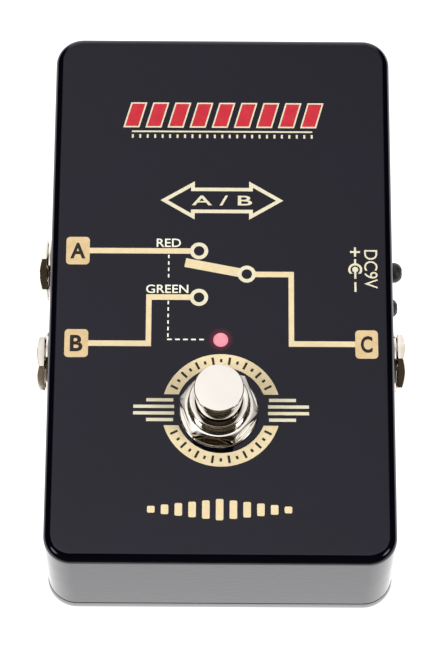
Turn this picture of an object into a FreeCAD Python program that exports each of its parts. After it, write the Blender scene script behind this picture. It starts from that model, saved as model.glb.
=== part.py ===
import FreeCAD, Part
import math
import os
import Sketcher

# Foot-operated A/B line switch in a die-cast box. Millimetres, +Z up, +Y towards the far end,
# origin on the floor under the middle of the box.

Vector = FreeCAD.Vector
Rotation = FreeCAD.Rotation

SIZES = {
    "Box": {
        "box_width": (70.0, "width of the top face"),
        "base_width": (70.6, "width at the seam, after the draft"),
        "base_length": (115.6, "length at the seam"),
        "box_top": (30.5, "height of the top face over the floor"),
        "plate_thick": (1.7, "base plate"),
        "wall": (2.0, "casting wall"),
        "corner": (6.0, "vertical corner at the seam"),
        "top_edge": (1.95, "rounding of the top edge"),
        "post_x": (30.3, "screw posts, to each side"),
        "post_y": (52.8, "screw posts, to each end"),
        "post_radius": (3.6, "screw post"),
        "pilot_radius": (1.55, "screw hole in a post"),
        "pilot_depth": (12.0, "screw hole in a post"),
        "cover_hole": (1.7, "screw hole in the base plate"),
        "cover_head": (2.9, "countersink at the outside of the plate"),
        "plate_edge": (1.1, "rounding of the plate's lower edge"),
    },
    "Base screw": {
        "screw_radius": (1.5, "shank"),
        "screw_long": (9.0, "overall length"),
        "screw_head": (2.75, "countersunk head"),
        "screw_sink": (1.3, "height of the head's cone"),
        "screw_lift": (0.05, "heads over the plate's underside"),
        "cross_long": (3.0, "cross recess, tip to tip"),
        "cross_wide": (0.7, "cross recess, width of a slot"),
        "cross_deep": (0.9, "cross recess"),
    },
    "Foot switch": {
        "switch_x": (-0.4, "axis of the foot switch"),
        "switch_y": (-26.0, "axis of the foot switch"),
        "switch_hole": (6.15, "hole in the top"),
        "bush_radius": (6.0, "M12 threaded bushing"),
        "bush_top": (37.3, "rim of the bushing"),
        "bush_foot": (24.0, "lower end of the bushing"),
        "bush_shoulder": (25.0, "where the bushing sits on its bracket"),
        "bush_spigot": (5.0, "end that is swaged in the bracket"),
        "bush_bore": (4.78, "bore that guides the plunger"),
        "bush_web_low": (26.0, "underside of the inner web"),
        "bush_web_high": (28.0, "seat of the spring"),
        "bush_web_hole": (2.27, "guide for the plunger's stem"),
        "bush_lower_bore": (4.2, "room for the clip"),
        "bush_bevel": (0.25, "outer bevel of the rim"),
        "bush_lip": (0.15, "inner bevel of the rim"),
        "plunger_radius": (4.95, "pressed face"),
        "plunger_foot": (4.48, "lower stretch of the plunger's head"),
        "plunger_waist": (37.3, "where the head starts to widen"),
        "plunger_top": (44.0, "pressed face, at rest"),
        "plunger_low": (34.2, "underside of the plunger's head"),
        "plunger_round": (0.24, "edge of the pressed face"),
        "stem_radius": (2.2, "stem under the head"),
        "stem_end": (21.5, "lower end of the stem"),
        "clip_low": (25.4, "groove for the retaining clip"),
        "clip_high": (25.95, "groove for the retaining clip"),
        "clip_groove": (1.7, "bottom of that groove"),
        "clip_outer": (3.6, "retaining clip"),
        "clip_mouth": (2.6, "opening of the clip"),
        "clip_play": (0.02, "between the clip and its groove"),
        "spring_mean": (3.35, "middle of the spring's coil"),
        "spring_wire": (0.32, "half of the spring's wire"),
        "spring_turns": (4.5, "turns of the spring"),
        "washer_outer": (8.0, "washer under the top nut"),
        "washer_inner": (6.15, "hole of both washers"),
        "washer_thick": (0.7, "washer"),
        "nut_flats": (14.0, "across the flats, M12"),
        "nut_hole": (6.03, "hole of both nuts"),
        "nut_tall": (3.1, "top nut"),
        "nut_turn": (50.0, "where the top nut stopped, in degrees"),
        "nut_bevel": (6.6, "flat circle of a nut's end"),
        "nut_slope": (20.0, "slope of a nut's bevel, in degrees"),
        "lower_nut_low": (25.5, "nut inside the box"),
        "lower_nut_high": (27.8, "nut inside the box"),
        "lock_outer": (8.4, "toothed washer"),
        "lock_inner": (7.1, "roots of its teeth"),
        "lock_teeth": (10, "teeth"),
        "lock_tooth": (2.2, "width of a tooth"),
        "lock_grip": (0.3, "how far a tooth reaches into its ring"),
    },
    "Switch case": {
        "case_x": (8.6, "half length of the case"),
        "case_y": (6.7, "half width of the case"),
        "case_low": (11.0, "underside of the case"),
        "case_high": (23.95, "top of the case"),
        "case_room_x": (7.2, "half length of its inside"),
        "case_room_y": (5.4, "half width of its inside"),
        "case_roof": (22.0, "underside of its roof"),
        "case_hole": (4.0, "hole for the stem"),
        "bracket_thick": (0.8, "folded bracket"),
        "bracket_gap": (0.06, "between bracket and case"),
        "bracket_play": (0.05, "between bracket and the case's roof"),
        "bracket_low": (15.5, "ends of the bracket's ears"),
        "tag_board_low": (9.5, "underside of the tag board"),
        "tag_pitch": (4.7, "between the three tags of a pole"),
        "pole_y": (2.9, "each pole, from the switch's middle"),
        "tag_wide": (2.2, "solder tag"),
        "tag_thick": (0.6, "solder tag"),
        "tag_end": (5.5, "lower end of a tag"),
        "tag_slot_gap": (0.1, "slot round a tag"),
        "tag_head": (1.2, "half of a contact face"),
        "tag_head_high": (11.35, "outer contact face"),
        "fulcrum_high": (11.9, "middle tag, where the rocker sits"),
        "fulcrum_half": (0.5, "half thickness of that fulcrum"),
        "rocker_axis": (12.0, "axis on which a rocker tips"),
        "rocker_long": (11.4, "rocker"),
        "rocker_wide": (2.2, "rocker"),
        "rocker_thick": (0.4, "rocker"),
        "rocker_tilt": (5.5, "rocker's tilt in either position, degrees"),
        "lever_axis": (17.2, "axis of the swing lever"),
        "lever_tilt": (12.0, "lever's tilt in either position, degrees"),
        "lever_half": (4.7, "half width of the lever"),
        "lever_hub": (0.86, "hole of the lever"),
        "lever_wing": (2.3, "half length of the lever's top"),
        "lever_wing_high": (1.0, "lever's top over its axis"),
        "lever_waist": (1.35, "half thickness of the lever's lower part"),
        "lever_low": (-3.4, "lower end of the lever, from its axis"),
        "axle_radius": (0.8, "axle of the lever"),
        "tip_radius": (0.8, "contact pusher"),
        "tip_hole": (0.85, "hole for a contact pusher"),
        "tip_centre": (-3.9, "centre of the pusher's ball end, from the axis"),
        "tip_upper": (-1.6, "upper end of the pusher, from the axis"),
        "tip_play": (0.05, "over the pusher's upper end"),
    },
    "Jacks": {
        "jack_face": (35.2, "plane where the jack's washer sits, from the middle"),
        "jack_z": (19.7, "height of the three jacks"),
        "jack_a_y": (8.65, "jack A"),
        "jack_b_y": (-11.6, "jacks B and C"),
        "jack_hole": (4.65, "hole in the box"),
        "jack_bore": (3.25, "bore for a 6.35 mm plug"),
        "jack_thread": (4.45, "M9 thread"),
        "jack_nose": (2.35, "end of the sleeve, outside the box"),
        "jack_lead": (0.35, "bevel at the end of the sleeve"),
        "jack_shoulder": (-2.25, "front of the moulded case"),
        "jack_flange": (5.4, "sleeve inside the case"),
        "jack_sleeve_end": (-6.2, "inner end of the sleeve"),
        "jack_washer": (6.3, "thin washer"),
        "jack_washer_thick": (0.5, "thin washer"),
        "jack_nut_flats": (11.0, "across the flats, M9"),
        "jack_nut_tall": (1.9, "nut"),
        "jack_nut_bevel": (5.3, "flat circle of the nut's end"),
        "jack_nut_slope": (30.0, "slope of the nut's bevel, in degrees"),
        "jack_nut_play": (0.03, "between thread and nut"),
        "jack_a_turn": (0.0, "where the nut of jack A stopped, in degrees"),
        "jack_b_turn": (31.5, "where the nut of jack B stopped, in degrees"),
        "jack_c_turn": (11.0, "where the nut of jack C stopped, in degrees"),
        "jack_case_half": (7.2, "half of the square case"),
        "jack_case_end": (-24.0, "inner end of the case"),
        "jack_case_well": (3.6, "well for the plug"),
        "jack_seat": (5.5, "seat of the sleeve and the earth tag"),
        "jack_seat_end": (-6.8, "inner end of that seat"),
        "spring_slot_half": (1.7, "half width of the contact's slot"),
        "spring_slot_low": (-6.3, "depth of that slot, from the axis"),
        "spring_slot_near": (-8.1, "slot's outer end"),
        "blade_thick": (0.4, "contact blade"),
        "blade_half": (1.4, "half width of a contact blade"),
        "blade_level": (-4.4, "contact blade, from the axis"),
        "blade_root": (-9.3, "where the blade is held"),
        "blade_bend": (-19.6, "start of the blade's bump"),
        "blade_crest": (-22.0, "crest of the bump"),
        "blade_end": (-23.4, "end of the blade"),
        "blade_gap": (0.1, "between the blade's root and its tag"),
        "blade_lean": (0.1, "offset of the bump's inner side"),
        "crest_level": (-2.3, "crest of the bump, from the axis"),
        "crest_half": (0.3, "half length of the crest, outside"),
        "crest_half_in": (0.2, "half length of the crest, inside"),
        "tag_level": (-10.5, "end of the jack's solder tags, from the axis"),
        "earth_side": (4.0, "earth tag, to one side"),
        "earth_half": (1.0, "half width of the jack's tags"),
        "earth_thick": (0.5, "earth tag"),
        "earth_near": (-6.25, "outer face of the earth tag"),
        "tag_play": (0.15, "slots round a jack's tags"),
    },
    "Lamp": {
        "lamp_x": (-0.1, "lamp"),
        "lamp_y": (-10.7, "lamp"),
        "lamp_hole": (1.58, "hole in the top"),
        "lamp_radius": (1.5, "3 mm lamp"),
        "lamp_flange": (1.9, "lamp's foot"),
        "lamp_low": (26.2, "underside of the lamp"),
        "lamp_flange_high": (27.2, "top of the lamp's foot"),
        "lamp_dome": (30.1, "where the dome starts"),
        "lead_pitch": (1.1, "between the three leads"),
        "lead_thick": (0.45, "square lead"),
        "lead_end": (22.8, "lower end of the leads"),
        "board_x": (6.5, "half length of the lamp's board"),
        "board_near": (-17.0, "near edge of the board"),
        "board_far": (-3.0, "far edge of the board"),
        "board_low": (23.6, "underside of the board"),
        "board_high": (25.2, "top of the board"),
        "lead_hole": (0.42, "hole for a lead"),
        "resistor_radius": (1.1, "resistor"),
        "resistor_long": (5.6, "resistor"),
        "resistor_lead": (0.25, "resistor's lead"),
        "resistor_end": (23.1, "lower ends of a resistor's leads"),
        "resistor_reach": (4.4, "each end of a resistor's leads"),
        "resistor_high": (26.4, "axis of a resistor"),
        "resistor_far_y": (-4.6, "far resistor"),
        "resistor_near_y": (-7.35, "near resistor"),
    },
    "Power socket": {
        "power_face": (35.28, "plane of the screw heads, from the middle"),
        "power_y": (6.45, "power socket"),
        "power_z": (15.0, "power socket"),
        "power_turn": (5.4, "tilt of the screw line, in degrees"),
        "power_pitch": (8.04, "each screw, from the socket's axis"),
        "power_hole": (4.15, "hole in the box"),
        "power_nose": (4.0, "nose in that hole"),
        "power_mouth": (-0.12, "mouth of the socket"),
        "power_back": (-2.3, "front of the flange"),
        "power_flange": (1.8, "thickness of the flange"),
        "power_flange_half": (2.6, "round ends of the flange"),
        "power_barrel": (4.8, "barrel inside the box"),
        "power_end": (-14.5, "inner end of the barrel"),
        "power_bore": (3.1, "bore for a 5.5 mm plug"),
        "power_floor": (-10.6, "bottom of that bore"),
        "pin_radius": (1.05, "centre pin"),
        "pin_shank": (0.65, "the pin's part in the moulding and its solder end"),
        "pin_tip": (-1.3, "end of the pin"),
        "pin_tail": (-18.0, "solder end of the pin"),
        "pin_lead": (0.3, "bevel of the pin's tip"),
        "leaf_half": (1.2, "half width of the sleeve contact"),
        "leaf_thick": (0.4, "sleeve contact"),
        "leaf_level": (3.9, "outer face of the sleeve contact, from the axis"),
        "leaf_front": (-3.4, "front end of the contact"),
        "leaf_slot": (4.15, "slot for the contact"),
        "leaf_window": (2.7, "inner end of that slot"),
        "leaf_play": (0.1, "between the contact and its slot"),
        "leaf_tail": (3.0, "tail behind the barrel"),
        "wall_screw_hole": (1.4, "screw holes in box and flange"),
        "wall_screw": (1.25, "M2.5 screw"),
        "wall_screw_long": (8.0, "M2.5 screw"),
        "wall_head": (2.1, "round head"),
        "wall_head_tall": (2.05, "round head"),
        "wall_head_edge": (0.35, "straight edge of the head"),
        "wall_nut_flats": (5.0, "M2.5 nut"),
        "wall_nut_tall": (2.0, "M2.5 nut"),
        "wall_nut_hole": (1.3, "M2.5 nut"),
    },
    "Wiring": {
        "wire_radius": (0.55, "insulated wire"),
        "wire_gap": (0.1, "between a wire's end and its tag"),
        "tip_wire": (1.0, "wires over the ends of the jacks' tip tags"),
        "earth_wire": (0.7, "wires over the ends of their earth tags"),
        "earth_wire_high": (1.9, "second wire on an earth tag"),
        "switch_wire": (6.9, "height of the wires at the switch's tags"),
        "leaf_wire": (1.5, "wire on the tail of the sleeve contact"),
        "leaf_wire_low": (0.2, "that wire under the contact"),
    },
}

doc = FreeCAD.newDocument("line_switch")
sheet = doc.addObject("Spreadsheet::Sheet", "Sizes")


def fill_sheet():
    """Write every driving dimension as a row of note, number and alias."""
    row = 1
    for group, entries in SIZES.items():
        sheet.set("A%d" % row, group)
        row += 1
        for alias, (number, note) in entries.items():
            sheet.set("A%d" % row, note)
            sheet.set("B%d" % row, str(number))
            sheet.setAlias("B%d" % row, alias)
            row += 1
    doc.recompute()


class Size:
    """A length that knows its number and the cell formula behind it."""

    def __init__(self, number, formula):
        self.number = float(number)
        self.formula = formula

    def __add__(self, other):
        other = as_size(other)
        return Size(self.number + other.number, "(%s + %s)" % (self.formula, other.formula))

    def __sub__(self, other):
        other = as_size(other)
        return Size(self.number - other.number, "(%s - %s)" % (self.formula, other.formula))

    def __mul__(self, other):
        other = as_size(other)
        return Size(self.number * other.number, "%s * %s" % (self.formula, other.formula))

    def __truediv__(self, other):
        other = as_size(other)
        return Size(self.number / other.number, "%s / %s" % (self.formula, other.formula))

    def __neg__(self):
        return Size(-self.number, "(-1 * %s)" % self.formula)

    def __radd__(self, other):
        return as_size(other) + self

    def __rsub__(self, other):
        return as_size(other) - self


def as_size(value):
    """Take a Size as it is and turn a plain number into one."""
    if isinstance(value, Size):
        return value
    return Size(value, "(%.6f)" % value)


class Cells:
    """The sheet's cells, each read by its alias as a Size."""

    def __getattr__(self, alias):
        return Size(sheet.get(alias), "Sizes." + alias)


cell = Cells()
ZERO = as_size(0.0)


def bind(target, path, value):
    """Bind one property to a Size."""
    target.setExpression(path, as_size(value).formula)


def new_body(label):
    """An empty body whose label names its file."""
    body = doc.addObject("PartDesign::Body", label)
    body.Label = label
    return body


def place(target, x=0.0, y=0.0, z=0.0, turn=None):
    """Put a sub-part at a bound point, turned by a fixed rotation."""
    target.Placement = FreeCAD.Placement(Vector(), turn or Rotation())
    bind(target, "Placement.Base.x", x)
    bind(target, "Placement.Base.y", y)
    bind(target, "Placement.Base.z", z)


def new_sketch(body, plane, lift=0.0):
    """A sketch on one of the body's own origin planes, moved along its normal."""
    sketch = body.newObject("Sketcher::SketchObject", body.Name + "_sketch")
    support = next(f for f in body.Origin.OriginFeatures if f.Role == plane + "_Plane")
    sketch.AttachmentSupport = (support, [""])
    sketch.MapMode = "FlatFace"
    bind(sketch, "AttachmentOffset.Base.z", lift)
    return sketch


def hold(sketch, kind, references, value):
    """Add a dimension to a sketch and bind it."""
    value = as_size(value)
    index = sketch.addConstraint(Sketcher.Constraint(kind, *references, value.number))
    name = "size_%d" % index
    sketch.renameConstraint(index, name)
    bind(sketch, "Constraints." + name, value)


def hold_point(sketch, geometry, point, x, y):
    """Hold a point of a sketch at x, y from the sketch's origin."""
    hold(sketch, "DistanceX", (-1, 1, geometry, point), x)
    hold(sketch, "DistanceY", (-1, 1, geometry, point), y)


def circle(sketch, radius, x=0.0, y=0.0):
    """A full circle."""
    radius, x, y = as_size(radius), as_size(x), as_size(y)
    curve = Part.Circle(Vector(x.number, y.number, 0), Vector(0, 0, 1), radius.number)
    index = sketch.addGeometry(curve, False)
    hold(sketch, "Radius", (index,), radius)
    hold_point(sketch, index, 3, x, y)


def polygon(sketch, corners):
    """A closed outline through corners given as pairs."""
    corners = [(as_size(x), as_size(y)) for x, y in corners]
    points = [Vector(x.number, y.number, 0) for x, y in corners]
    count = len(points)
    first = sketch.GeometryCount
    for index in range(count):
        line = Part.LineSegment(points[index], points[(index + 1) % count])
        sketch.addGeometry(line, False)
    for index in range(count):
        after = first + (index + 1) % count
        sketch.addConstraint(Sketcher.Constraint("Coincident", first + index, 2, after, 1))
    for index, (x, y) in enumerate(corners):
        hold_point(sketch, first + index, 1, x, y)


def rectangle(sketch, low_x, low_y, high_x, high_y):
    """An upright rectangle from two corners."""
    polygon(sketch, [(low_x, low_y), (high_x, low_y), (high_x, high_y), (low_x, high_y)])


def rounded_rectangle(sketch, width, length, radius):
    """A rectangle about the origin with round corners."""
    half_x = (width / 2 - radius)
    half_y = (length / 2 - radius)
    first = sketch.GeometryCount
    centres = [(half_x, half_y), (-half_x, half_y), (-half_x, -half_y), (half_x, -half_y)]
    arcs = []
    for quarter, (x, y) in enumerate(centres):
        start = quarter * math.pi / 2
        ring = Part.Circle(Vector(x.number, y.number, 0), Vector(0, 0, 1), radius.number)
        arcs.append(Part.ArcOfCircle(ring, start, start + math.pi / 2))
    for arc in arcs:
        sketch.addGeometry(arc, False)
    for quarter in range(4):
        begin = arcs[quarter].EndPoint
        finish = arcs[(quarter + 1) % 4].StartPoint
        sketch.addGeometry(Part.LineSegment(begin, finish), False)
    for quarter, (x, y) in enumerate(centres):
        line = first + 4 + quarter
        after = first + (quarter + 1) % 4
        sketch.addConstraint(Sketcher.Constraint("Tangent", first + quarter, 2, line, 1))
        sketch.addConstraint(Sketcher.Constraint("Tangent", line, 2, after, 1))
        hold_point(sketch, first + quarter, 3, x, y)
        hold(sketch, "Radius", (first + quarter,), radius)


def hexagon(sketch, flats, turn=0.0):
    """A hexagon about the origin, with a corner at the angle turn in degrees."""
    reach = flats / math.sqrt(3.0)
    angles = [math.radians(turn + 60.0 * corner) for corner in range(6)]
    polygon(sketch, [(reach * math.cos(a), reach * math.sin(a)) for a in angles])


def grow(body, sketch, depth, taper=None, backwards=False):
    """Pad a sketch along its normal."""
    pad = body.newObject("PartDesign::Pad", body.Name + "_pad")
    pad.Profile = sketch
    pad.Reversed = backwards
    bind(pad, "Length", depth)
    if taper is not None:
        pad.setExpression("TaperAngle", taper)
    doc.recompute()
    return pad


def cut(body, sketch, depth, taper=None, backwards=False):
    """Pocket a sketch against its normal, or along it if backwards, and see that it cuts."""
    before = body.Shape.Volume
    pocket = body.newObject("PartDesign::Pocket", body.Name + "_pocket")
    pocket.Profile = sketch
    pocket.Reversed = backwards
    bind(pocket, "Length", depth)
    if taper is not None:
        pocket.setExpression("TaperAngle", taper)
    doc.recompute()
    see_cut(body, before)
    return pocket


def see_cut(body, before):
    """Stop if the last feature took nothing away."""
    if body.Shape.Volume > before - LEAST_CUT:
        raise RuntimeError("nothing cut from " + body.Label)


def turned(body, outline, cutting=False):
    """Revolve an outline of radius and height pairs about the body's own Z axis."""
    sketch = new_sketch(body, "XZ")
    polygon(sketch, outline)
    before = body.Shape.Volume if cutting else 0.0
    kind = "PartDesign::Groove" if cutting else "PartDesign::Revolution"
    feature = body.newObject(kind, body.Name + "_turned")
    feature.Profile = sketch
    feature.ReferenceAxis = (sketch, ["V_Axis"])
    feature.Angle = 360.0
    doc.recompute()
    if cutting:
        see_cut(body, before)
    return feature


def round_edges(body, radius, wanted, bevel=False):
    """Fillet or bevel the edges of the body's tip that the test wants."""
    tip = body.Tip
    names = ["Edge%d" % (i + 1) for i, edge in enumerate(tip.Shape.Edges) if wanted(edge)]
    if not names:
        raise RuntimeError("no edge to round on " + body.Label)
    kind = "PartDesign::Chamfer" if bevel else "PartDesign::Fillet"
    feature = body.newObject(kind, body.Name + "_edge")
    feature.Base = (tip, names)
    bind(feature, "Size" if bevel else "Radius", radius)
    doc.recompute()
    return feature


def near(value, goal, slack=1e-3):
    """True if two numbers agree."""
    return abs(value - goal) < slack


def flat_at(edge, height):
    """True if an edge lies in the plane z = height."""
    bounds = edge.BoundBox
    return near(bounds.ZMin, height) and near(bounds.ZMax, height)


DRAFT = "atan((Sizes.base_width - Sizes.box_width) / 2 / (Sizes.box_top - Sizes.plate_thick))"
OUT_LEFT = Rotation(Vector(0, 1, 0), -90)
OUT_RIGHT = Rotation(Vector(0, 1, 0), 90).multiply(Rotation(Vector(0, 0, 1), 180))
HOLE_REACH = 6.0
MARGIN = 1.0
DOME_SHARE = 0.98
BEND_SHARE = 0.45
WIRE_SLACK = 0.01
LEAST_CUT = 1e-4


def side_hole(body, side, radius, y, z):
    """Drill one side wall of the box: side is +1 on the right and -1 on the left."""
    start = (cell.base_width / 2 + MARGIN) * side
    sketch = new_sketch(body, "YZ", start)
    circle(sketch, radius, y, z)
    cut(body, sketch, HOLE_REACH, backwards=side < 0)


def power_screw_points():
    """The two screw centres of the power socket as y, z pairs."""
    turn = math.radians(cell.power_turn.number)
    reach_y = cell.power_pitch * math.sin(turn)
    reach_z = cell.power_pitch * math.cos(turn)
    return [
        (cell.power_y + reach_y, cell.power_z + reach_z),
        (cell.power_y - reach_y, cell.power_z - reach_z),
    ]


def four_posts():
    """The four corner points of the base screws."""
    return [(cell.post_x * i, cell.post_y * j) for i in (-1, 1) for j in (-1, 1)]


def make_enclosure():
    """The drafted die-cast shell, open below, with four screw posts and all its holes."""
    body = new_body("enclosure")
    outline = new_sketch(body, "XY", cell.plate_thick)
    rounded_rectangle(outline, cell.base_width, cell.base_length, cell.corner)
    grow(body, outline, cell.box_top - cell.plate_thick, "-1 * " + DRAFT)
    top = cell.box_top.number
    round_edges(body, cell.top_edge, lambda edge: flat_at(edge, top))
    inside = new_sketch(body, "XY", cell.plate_thick)
    room = cell.wall * 2
    rounded_rectangle(
        inside, cell.base_width - room, cell.base_length - room, cell.corner - cell.wall
    )
    depth = cell.box_top - cell.wall - cell.plate_thick
    cut(body, inside, depth, "-1 * " + DRAFT, backwards=True)
    posts = new_sketch(body, "XY", cell.plate_thick)
    pilots = new_sketch(body, "XY", cell.plate_thick)
    for x, y in four_posts():
        circle(posts, cell.post_radius, x, y)
        circle(pilots, cell.pilot_radius, x, y)
    grow(body, posts, cell.box_top - cell.plate_thick - cell.wall / 2)
    cut(body, pilots, cell.pilot_depth, backwards=True)
    top_holes = new_sketch(body, "XY", cell.box_top + MARGIN)
    circle(top_holes, cell.switch_hole, cell.switch_x, cell.switch_y)
    circle(top_holes, cell.lamp_hole, cell.lamp_x, cell.lamp_y)
    cut(body, top_holes, cell.wall + MARGIN * 2)
    side_hole(body, -1, cell.jack_hole, cell.jack_a_y, cell.jack_z)
    side_hole(body, -1, cell.jack_hole, cell.jack_b_y, cell.jack_z)
    side_hole(body, 1, cell.jack_hole, cell.jack_b_y, cell.jack_z)
    side_hole(body, 1, cell.power_hole, cell.power_y, cell.power_z)
    for y, z in power_screw_points():
        side_hole(body, 1, cell.wall_screw_hole, y, z)
    return [body]


def make_base_plate():
    """The flat plate under the box, with four countersunk holes."""
    body = new_body("base_plate")
    outline = new_sketch(body, "XY")
    rounded_rectangle(outline, cell.base_width, cell.base_length, cell.corner)
    grow(body, outline, cell.plate_thick)
    round_edges(body, cell.plate_edge, lambda edge: flat_at(edge, 0.0))
    holes = new_sketch(body, "XY")
    for x, y in four_posts():
        circle(holes, cell.cover_hole, x, y)
    cut(body, holes, cell.plate_thick, backwards=True)
    hole = cell.cover_hole.number

    def is_hole_mouth(edge):
        curve = edge.Curve
        return flat_at(edge, 0.0) and hasattr(curve, "Radius") and near(curve.Radius, hole)

    round_edges(body, cell.cover_head - cell.cover_hole, is_hole_mouth, bevel=True)
    return [body]


def cross_recess(body, face, depth, along):
    """Press a cross recess in a screw's head."""
    half_long = cell.cross_long / 2
    half_wide = cell.cross_wide / 2
    sketch = new_sketch(body, "XY", face)
    corners = []
    for x, y in ((1, 0), (0, 1), (-1, 0), (0, -1)):
        for side in (-1, 1):
            corners.append((half_long * x - half_wide * y * side, half_long * y + half_wide * x * side))
        corners.append((half_wide * (x - y), half_wide * (y + x)))
    polygon(sketch, corners)
    cut(body, sketch, depth, backwards=along)


def make_base_screws():
    """Four countersunk screws, heads down, as one group."""
    pattern = new_body("base_screw_pattern")
    turned(pattern, [
        (0.0, 0.0),
        (cell.screw_head, 0.0),
        (cell.screw_radius, cell.screw_sink),
        (cell.screw_radius, cell.screw_long - cell.screw_radius / 2),
        (cell.screw_radius / 2, cell.screw_long),
        (0.0, cell.screw_long),
    ])
    cross_recess(pattern, 0.0, cell.cross_deep, along=True)
    place(pattern, z=cell.screw_lift)
    group = doc.addObject("Part::Compound", "base_screws")
    group.Label = "base_screws"
    links = []
    for x, y in four_posts():
        link = doc.addObject("App::Link", "base_screw")
        link.LinkedObject = pattern
        link.LinkTransform = True
        bind(link, "Placement.Base.x", x)
        bind(link, "Placement.Base.y", y)
        links.append(link)
    group.Links = links
    return [group]


def make_nut(label, flats, hole, low, high, bevel, slope, turn=ZERO):
    """A hexagon nut about the body's Z axis, bevelled at its outer end."""
    body = new_body(label)
    outline = new_sketch(body, "XY", low)
    hexagon(outline, flats, turn.number)
    grow(body, outline, as_size(high) - low)
    drilled = new_sketch(body, "XY", low)
    circle(drilled, hole)
    cut(body, drilled, as_size(high) - low, backwards=True)
    reach = flats / 2
    fall = reach * math.tan(math.radians(slope.number))
    turned(body, [
        (bevel, as_size(high)),
        (bevel + reach, as_size(high)),
        (bevel + reach, as_size(high) - fall),
    ], cutting=True)
    return body


def make_ring(label, outer, inner, low, high):
    """A plain washer."""
    body = new_body(label)
    sketch = new_sketch(body, "XY", low)
    circle(sketch, outer)
    circle(sketch, inner)
    grow(body, sketch, as_size(high) - low)
    return body


def make_lock_washer():
    """The toothed washer between the lower nut and the box."""
    body = make_ring("switch_lock_washer", cell.lock_outer, cell.lock_inner,
                     cell.lower_nut_high, cell.box_top - cell.wall)
    tooth = new_sketch(body, "XY", cell.lower_nut_high)
    count = int(cell.lock_teeth.number)
    width = cell.lock_tooth
    rectangle(tooth, cell.washer_inner, -width / 2, cell.lock_inner + cell.lock_grip, width / 2)
    pad = grow(body, tooth, cell.box_top - cell.wall - cell.lower_nut_high)
    pattern = body.newObject("PartDesign::PolarPattern", "lock_teeth")
    pattern.Originals = [pad]
    pattern.Axis = (tooth, ["N_Axis"])
    pattern.Angle = 360.0
    pattern.Occurrences = count
    body.Tip = pattern
    doc.recompute()
    return body


def make_plunger():
    """The pressed head and the stem that reaches the swing lever."""
    body = new_body("switch_plunger")
    turned(body, [
        (0.0, cell.stem_end),
        (cell.stem_radius, cell.stem_end),
        (cell.stem_radius, cell.clip_low),
        (cell.clip_groove, cell.clip_low),
        (cell.clip_groove, cell.clip_high),
        (cell.stem_radius, cell.clip_high),
        (cell.stem_radius, cell.plunger_low),
        (cell.plunger_foot, cell.plunger_low),
        (cell.plunger_foot, cell.plunger_waist),
        (cell.plunger_radius, cell.plunger_top),
        (0.0, cell.plunger_top),
    ])
    top = cell.plunger_top.number
    round_edges(body, cell.plunger_round, lambda edge: flat_at(edge, top))
    return body


def make_clip():
    """The open ring that keeps the plunger in its bushing."""
    play = cell.clip_play
    body = make_ring("plunger_clip", cell.clip_outer, cell.clip_groove + play,
                     cell.clip_low + play, cell.clip_high - play)
    mouth = new_sketch(body, "XY", cell.clip_low)
    rectangle(mouth, 0.0, -cell.clip_mouth / 2, cell.clip_outer + MARGIN, cell.clip_mouth / 2)
    cut(body, mouth, cell.clip_high - cell.clip_low, backwards=True)
    return body


def make_bushing():
    """The M12 bushing: guide above, spring seat on its web, spigot below."""
    body = new_body("switch_bushing")
    turned(body, [
        (cell.bush_lower_bore, cell.bush_foot),
        (cell.bush_spigot, cell.bush_foot),
        (cell.bush_spigot, cell.bush_shoulder),
        (cell.bush_radius, cell.bush_shoulder),
        (cell.bush_radius, cell.bush_top - cell.bush_bevel),
        (cell.bush_radius - cell.bush_bevel, cell.bush_top),
        (cell.bush_bore + cell.bush_lip, cell.bush_top),
        (cell.bush_bore, cell.bush_top - cell.bush_lip),
        (cell.bush_bore, cell.bush_web_high),
        (cell.bush_web_hole, cell.bush_web_high),
        (cell.bush_web_hole, cell.bush_web_low),
        (cell.bush_lower_bore, cell.bush_web_low),
    ])
    return body


def arc_between(start, corner, finish):
    """The arc from start to finish whose end tangents meet in corner."""
    middle = (start + finish) * 0.5
    half = (finish - start).Length / 2
    reach = (corner - start).Length
    rise = half * math.tan(math.acos(min(1.0, half / reach)) / 2)
    crest = middle + (corner - middle).normalize() * rise
    return Part.Arc(start, crest, finish).toShape()


def helix_arcs(radius, low, high, turns):
    """A rising coil as pairs of tangent arcs, two pairs to each turn."""
    pieces = int(round(turns * 2))
    slope = (high - low) / (turns * 2 * math.pi)

    def at(angle):
        return Vector(radius * math.cos(angle), radius * math.sin(angle), low + slope * angle)

    def along(angle):
        return Vector(-radius * math.sin(angle), radius * math.cos(angle), slope).normalize()

    edges = []
    for piece in range(pieces):
        begin, end = piece * math.pi, (piece + 1) * math.pi
        chord = at(end) - at(begin)
        leave, arrive = along(begin), along(end)
        lean = chord.dot(leave + arrive)
        spread = 2 * (1 - leave.dot(arrive))
        reach = (-lean + math.sqrt(lean * lean + spread * chord.dot(chord))) / spread
        first = at(begin) + leave * reach
        second = at(end) - arrive * reach
        joint = (first + second) * 0.5
        edges.append(arc_between(at(begin), first, joint))
        edges.append(arc_between(joint, second, at(end)))
    return edges


def swept(edges, radius):
    """A round bar of the given radius along a smooth run of edges."""
    path = Part.Wire(edges)
    start = edges[0].valueAt(edges[0].FirstParameter)
    heading = edges[0].tangentAt(edges[0].FirstParameter)
    ring = Part.Wire(Part.makeCircle(radius, start, heading))
    return path.makePipeShell([ring], True, False)


def make_spring():
    """The coil spring between the bushing's web and the plunger's head."""
    wire = cell.spring_wire.number
    seat = cell.bush_web_high.number + wire
    head = cell.plunger_low.number - wire
    turns = cell.spring_turns.number
    edges = helix_arcs(cell.spring_mean.number, seat, head, turns)
    spring = doc.addObject("Part::Feature", "plunger_spring")
    spring.Label = "plunger_spring"
    spring.Shape = swept(edges, wire)
    print("spring gap %.2f" % ((head - seat) / turns - 2 * wire))
    return spring


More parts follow.
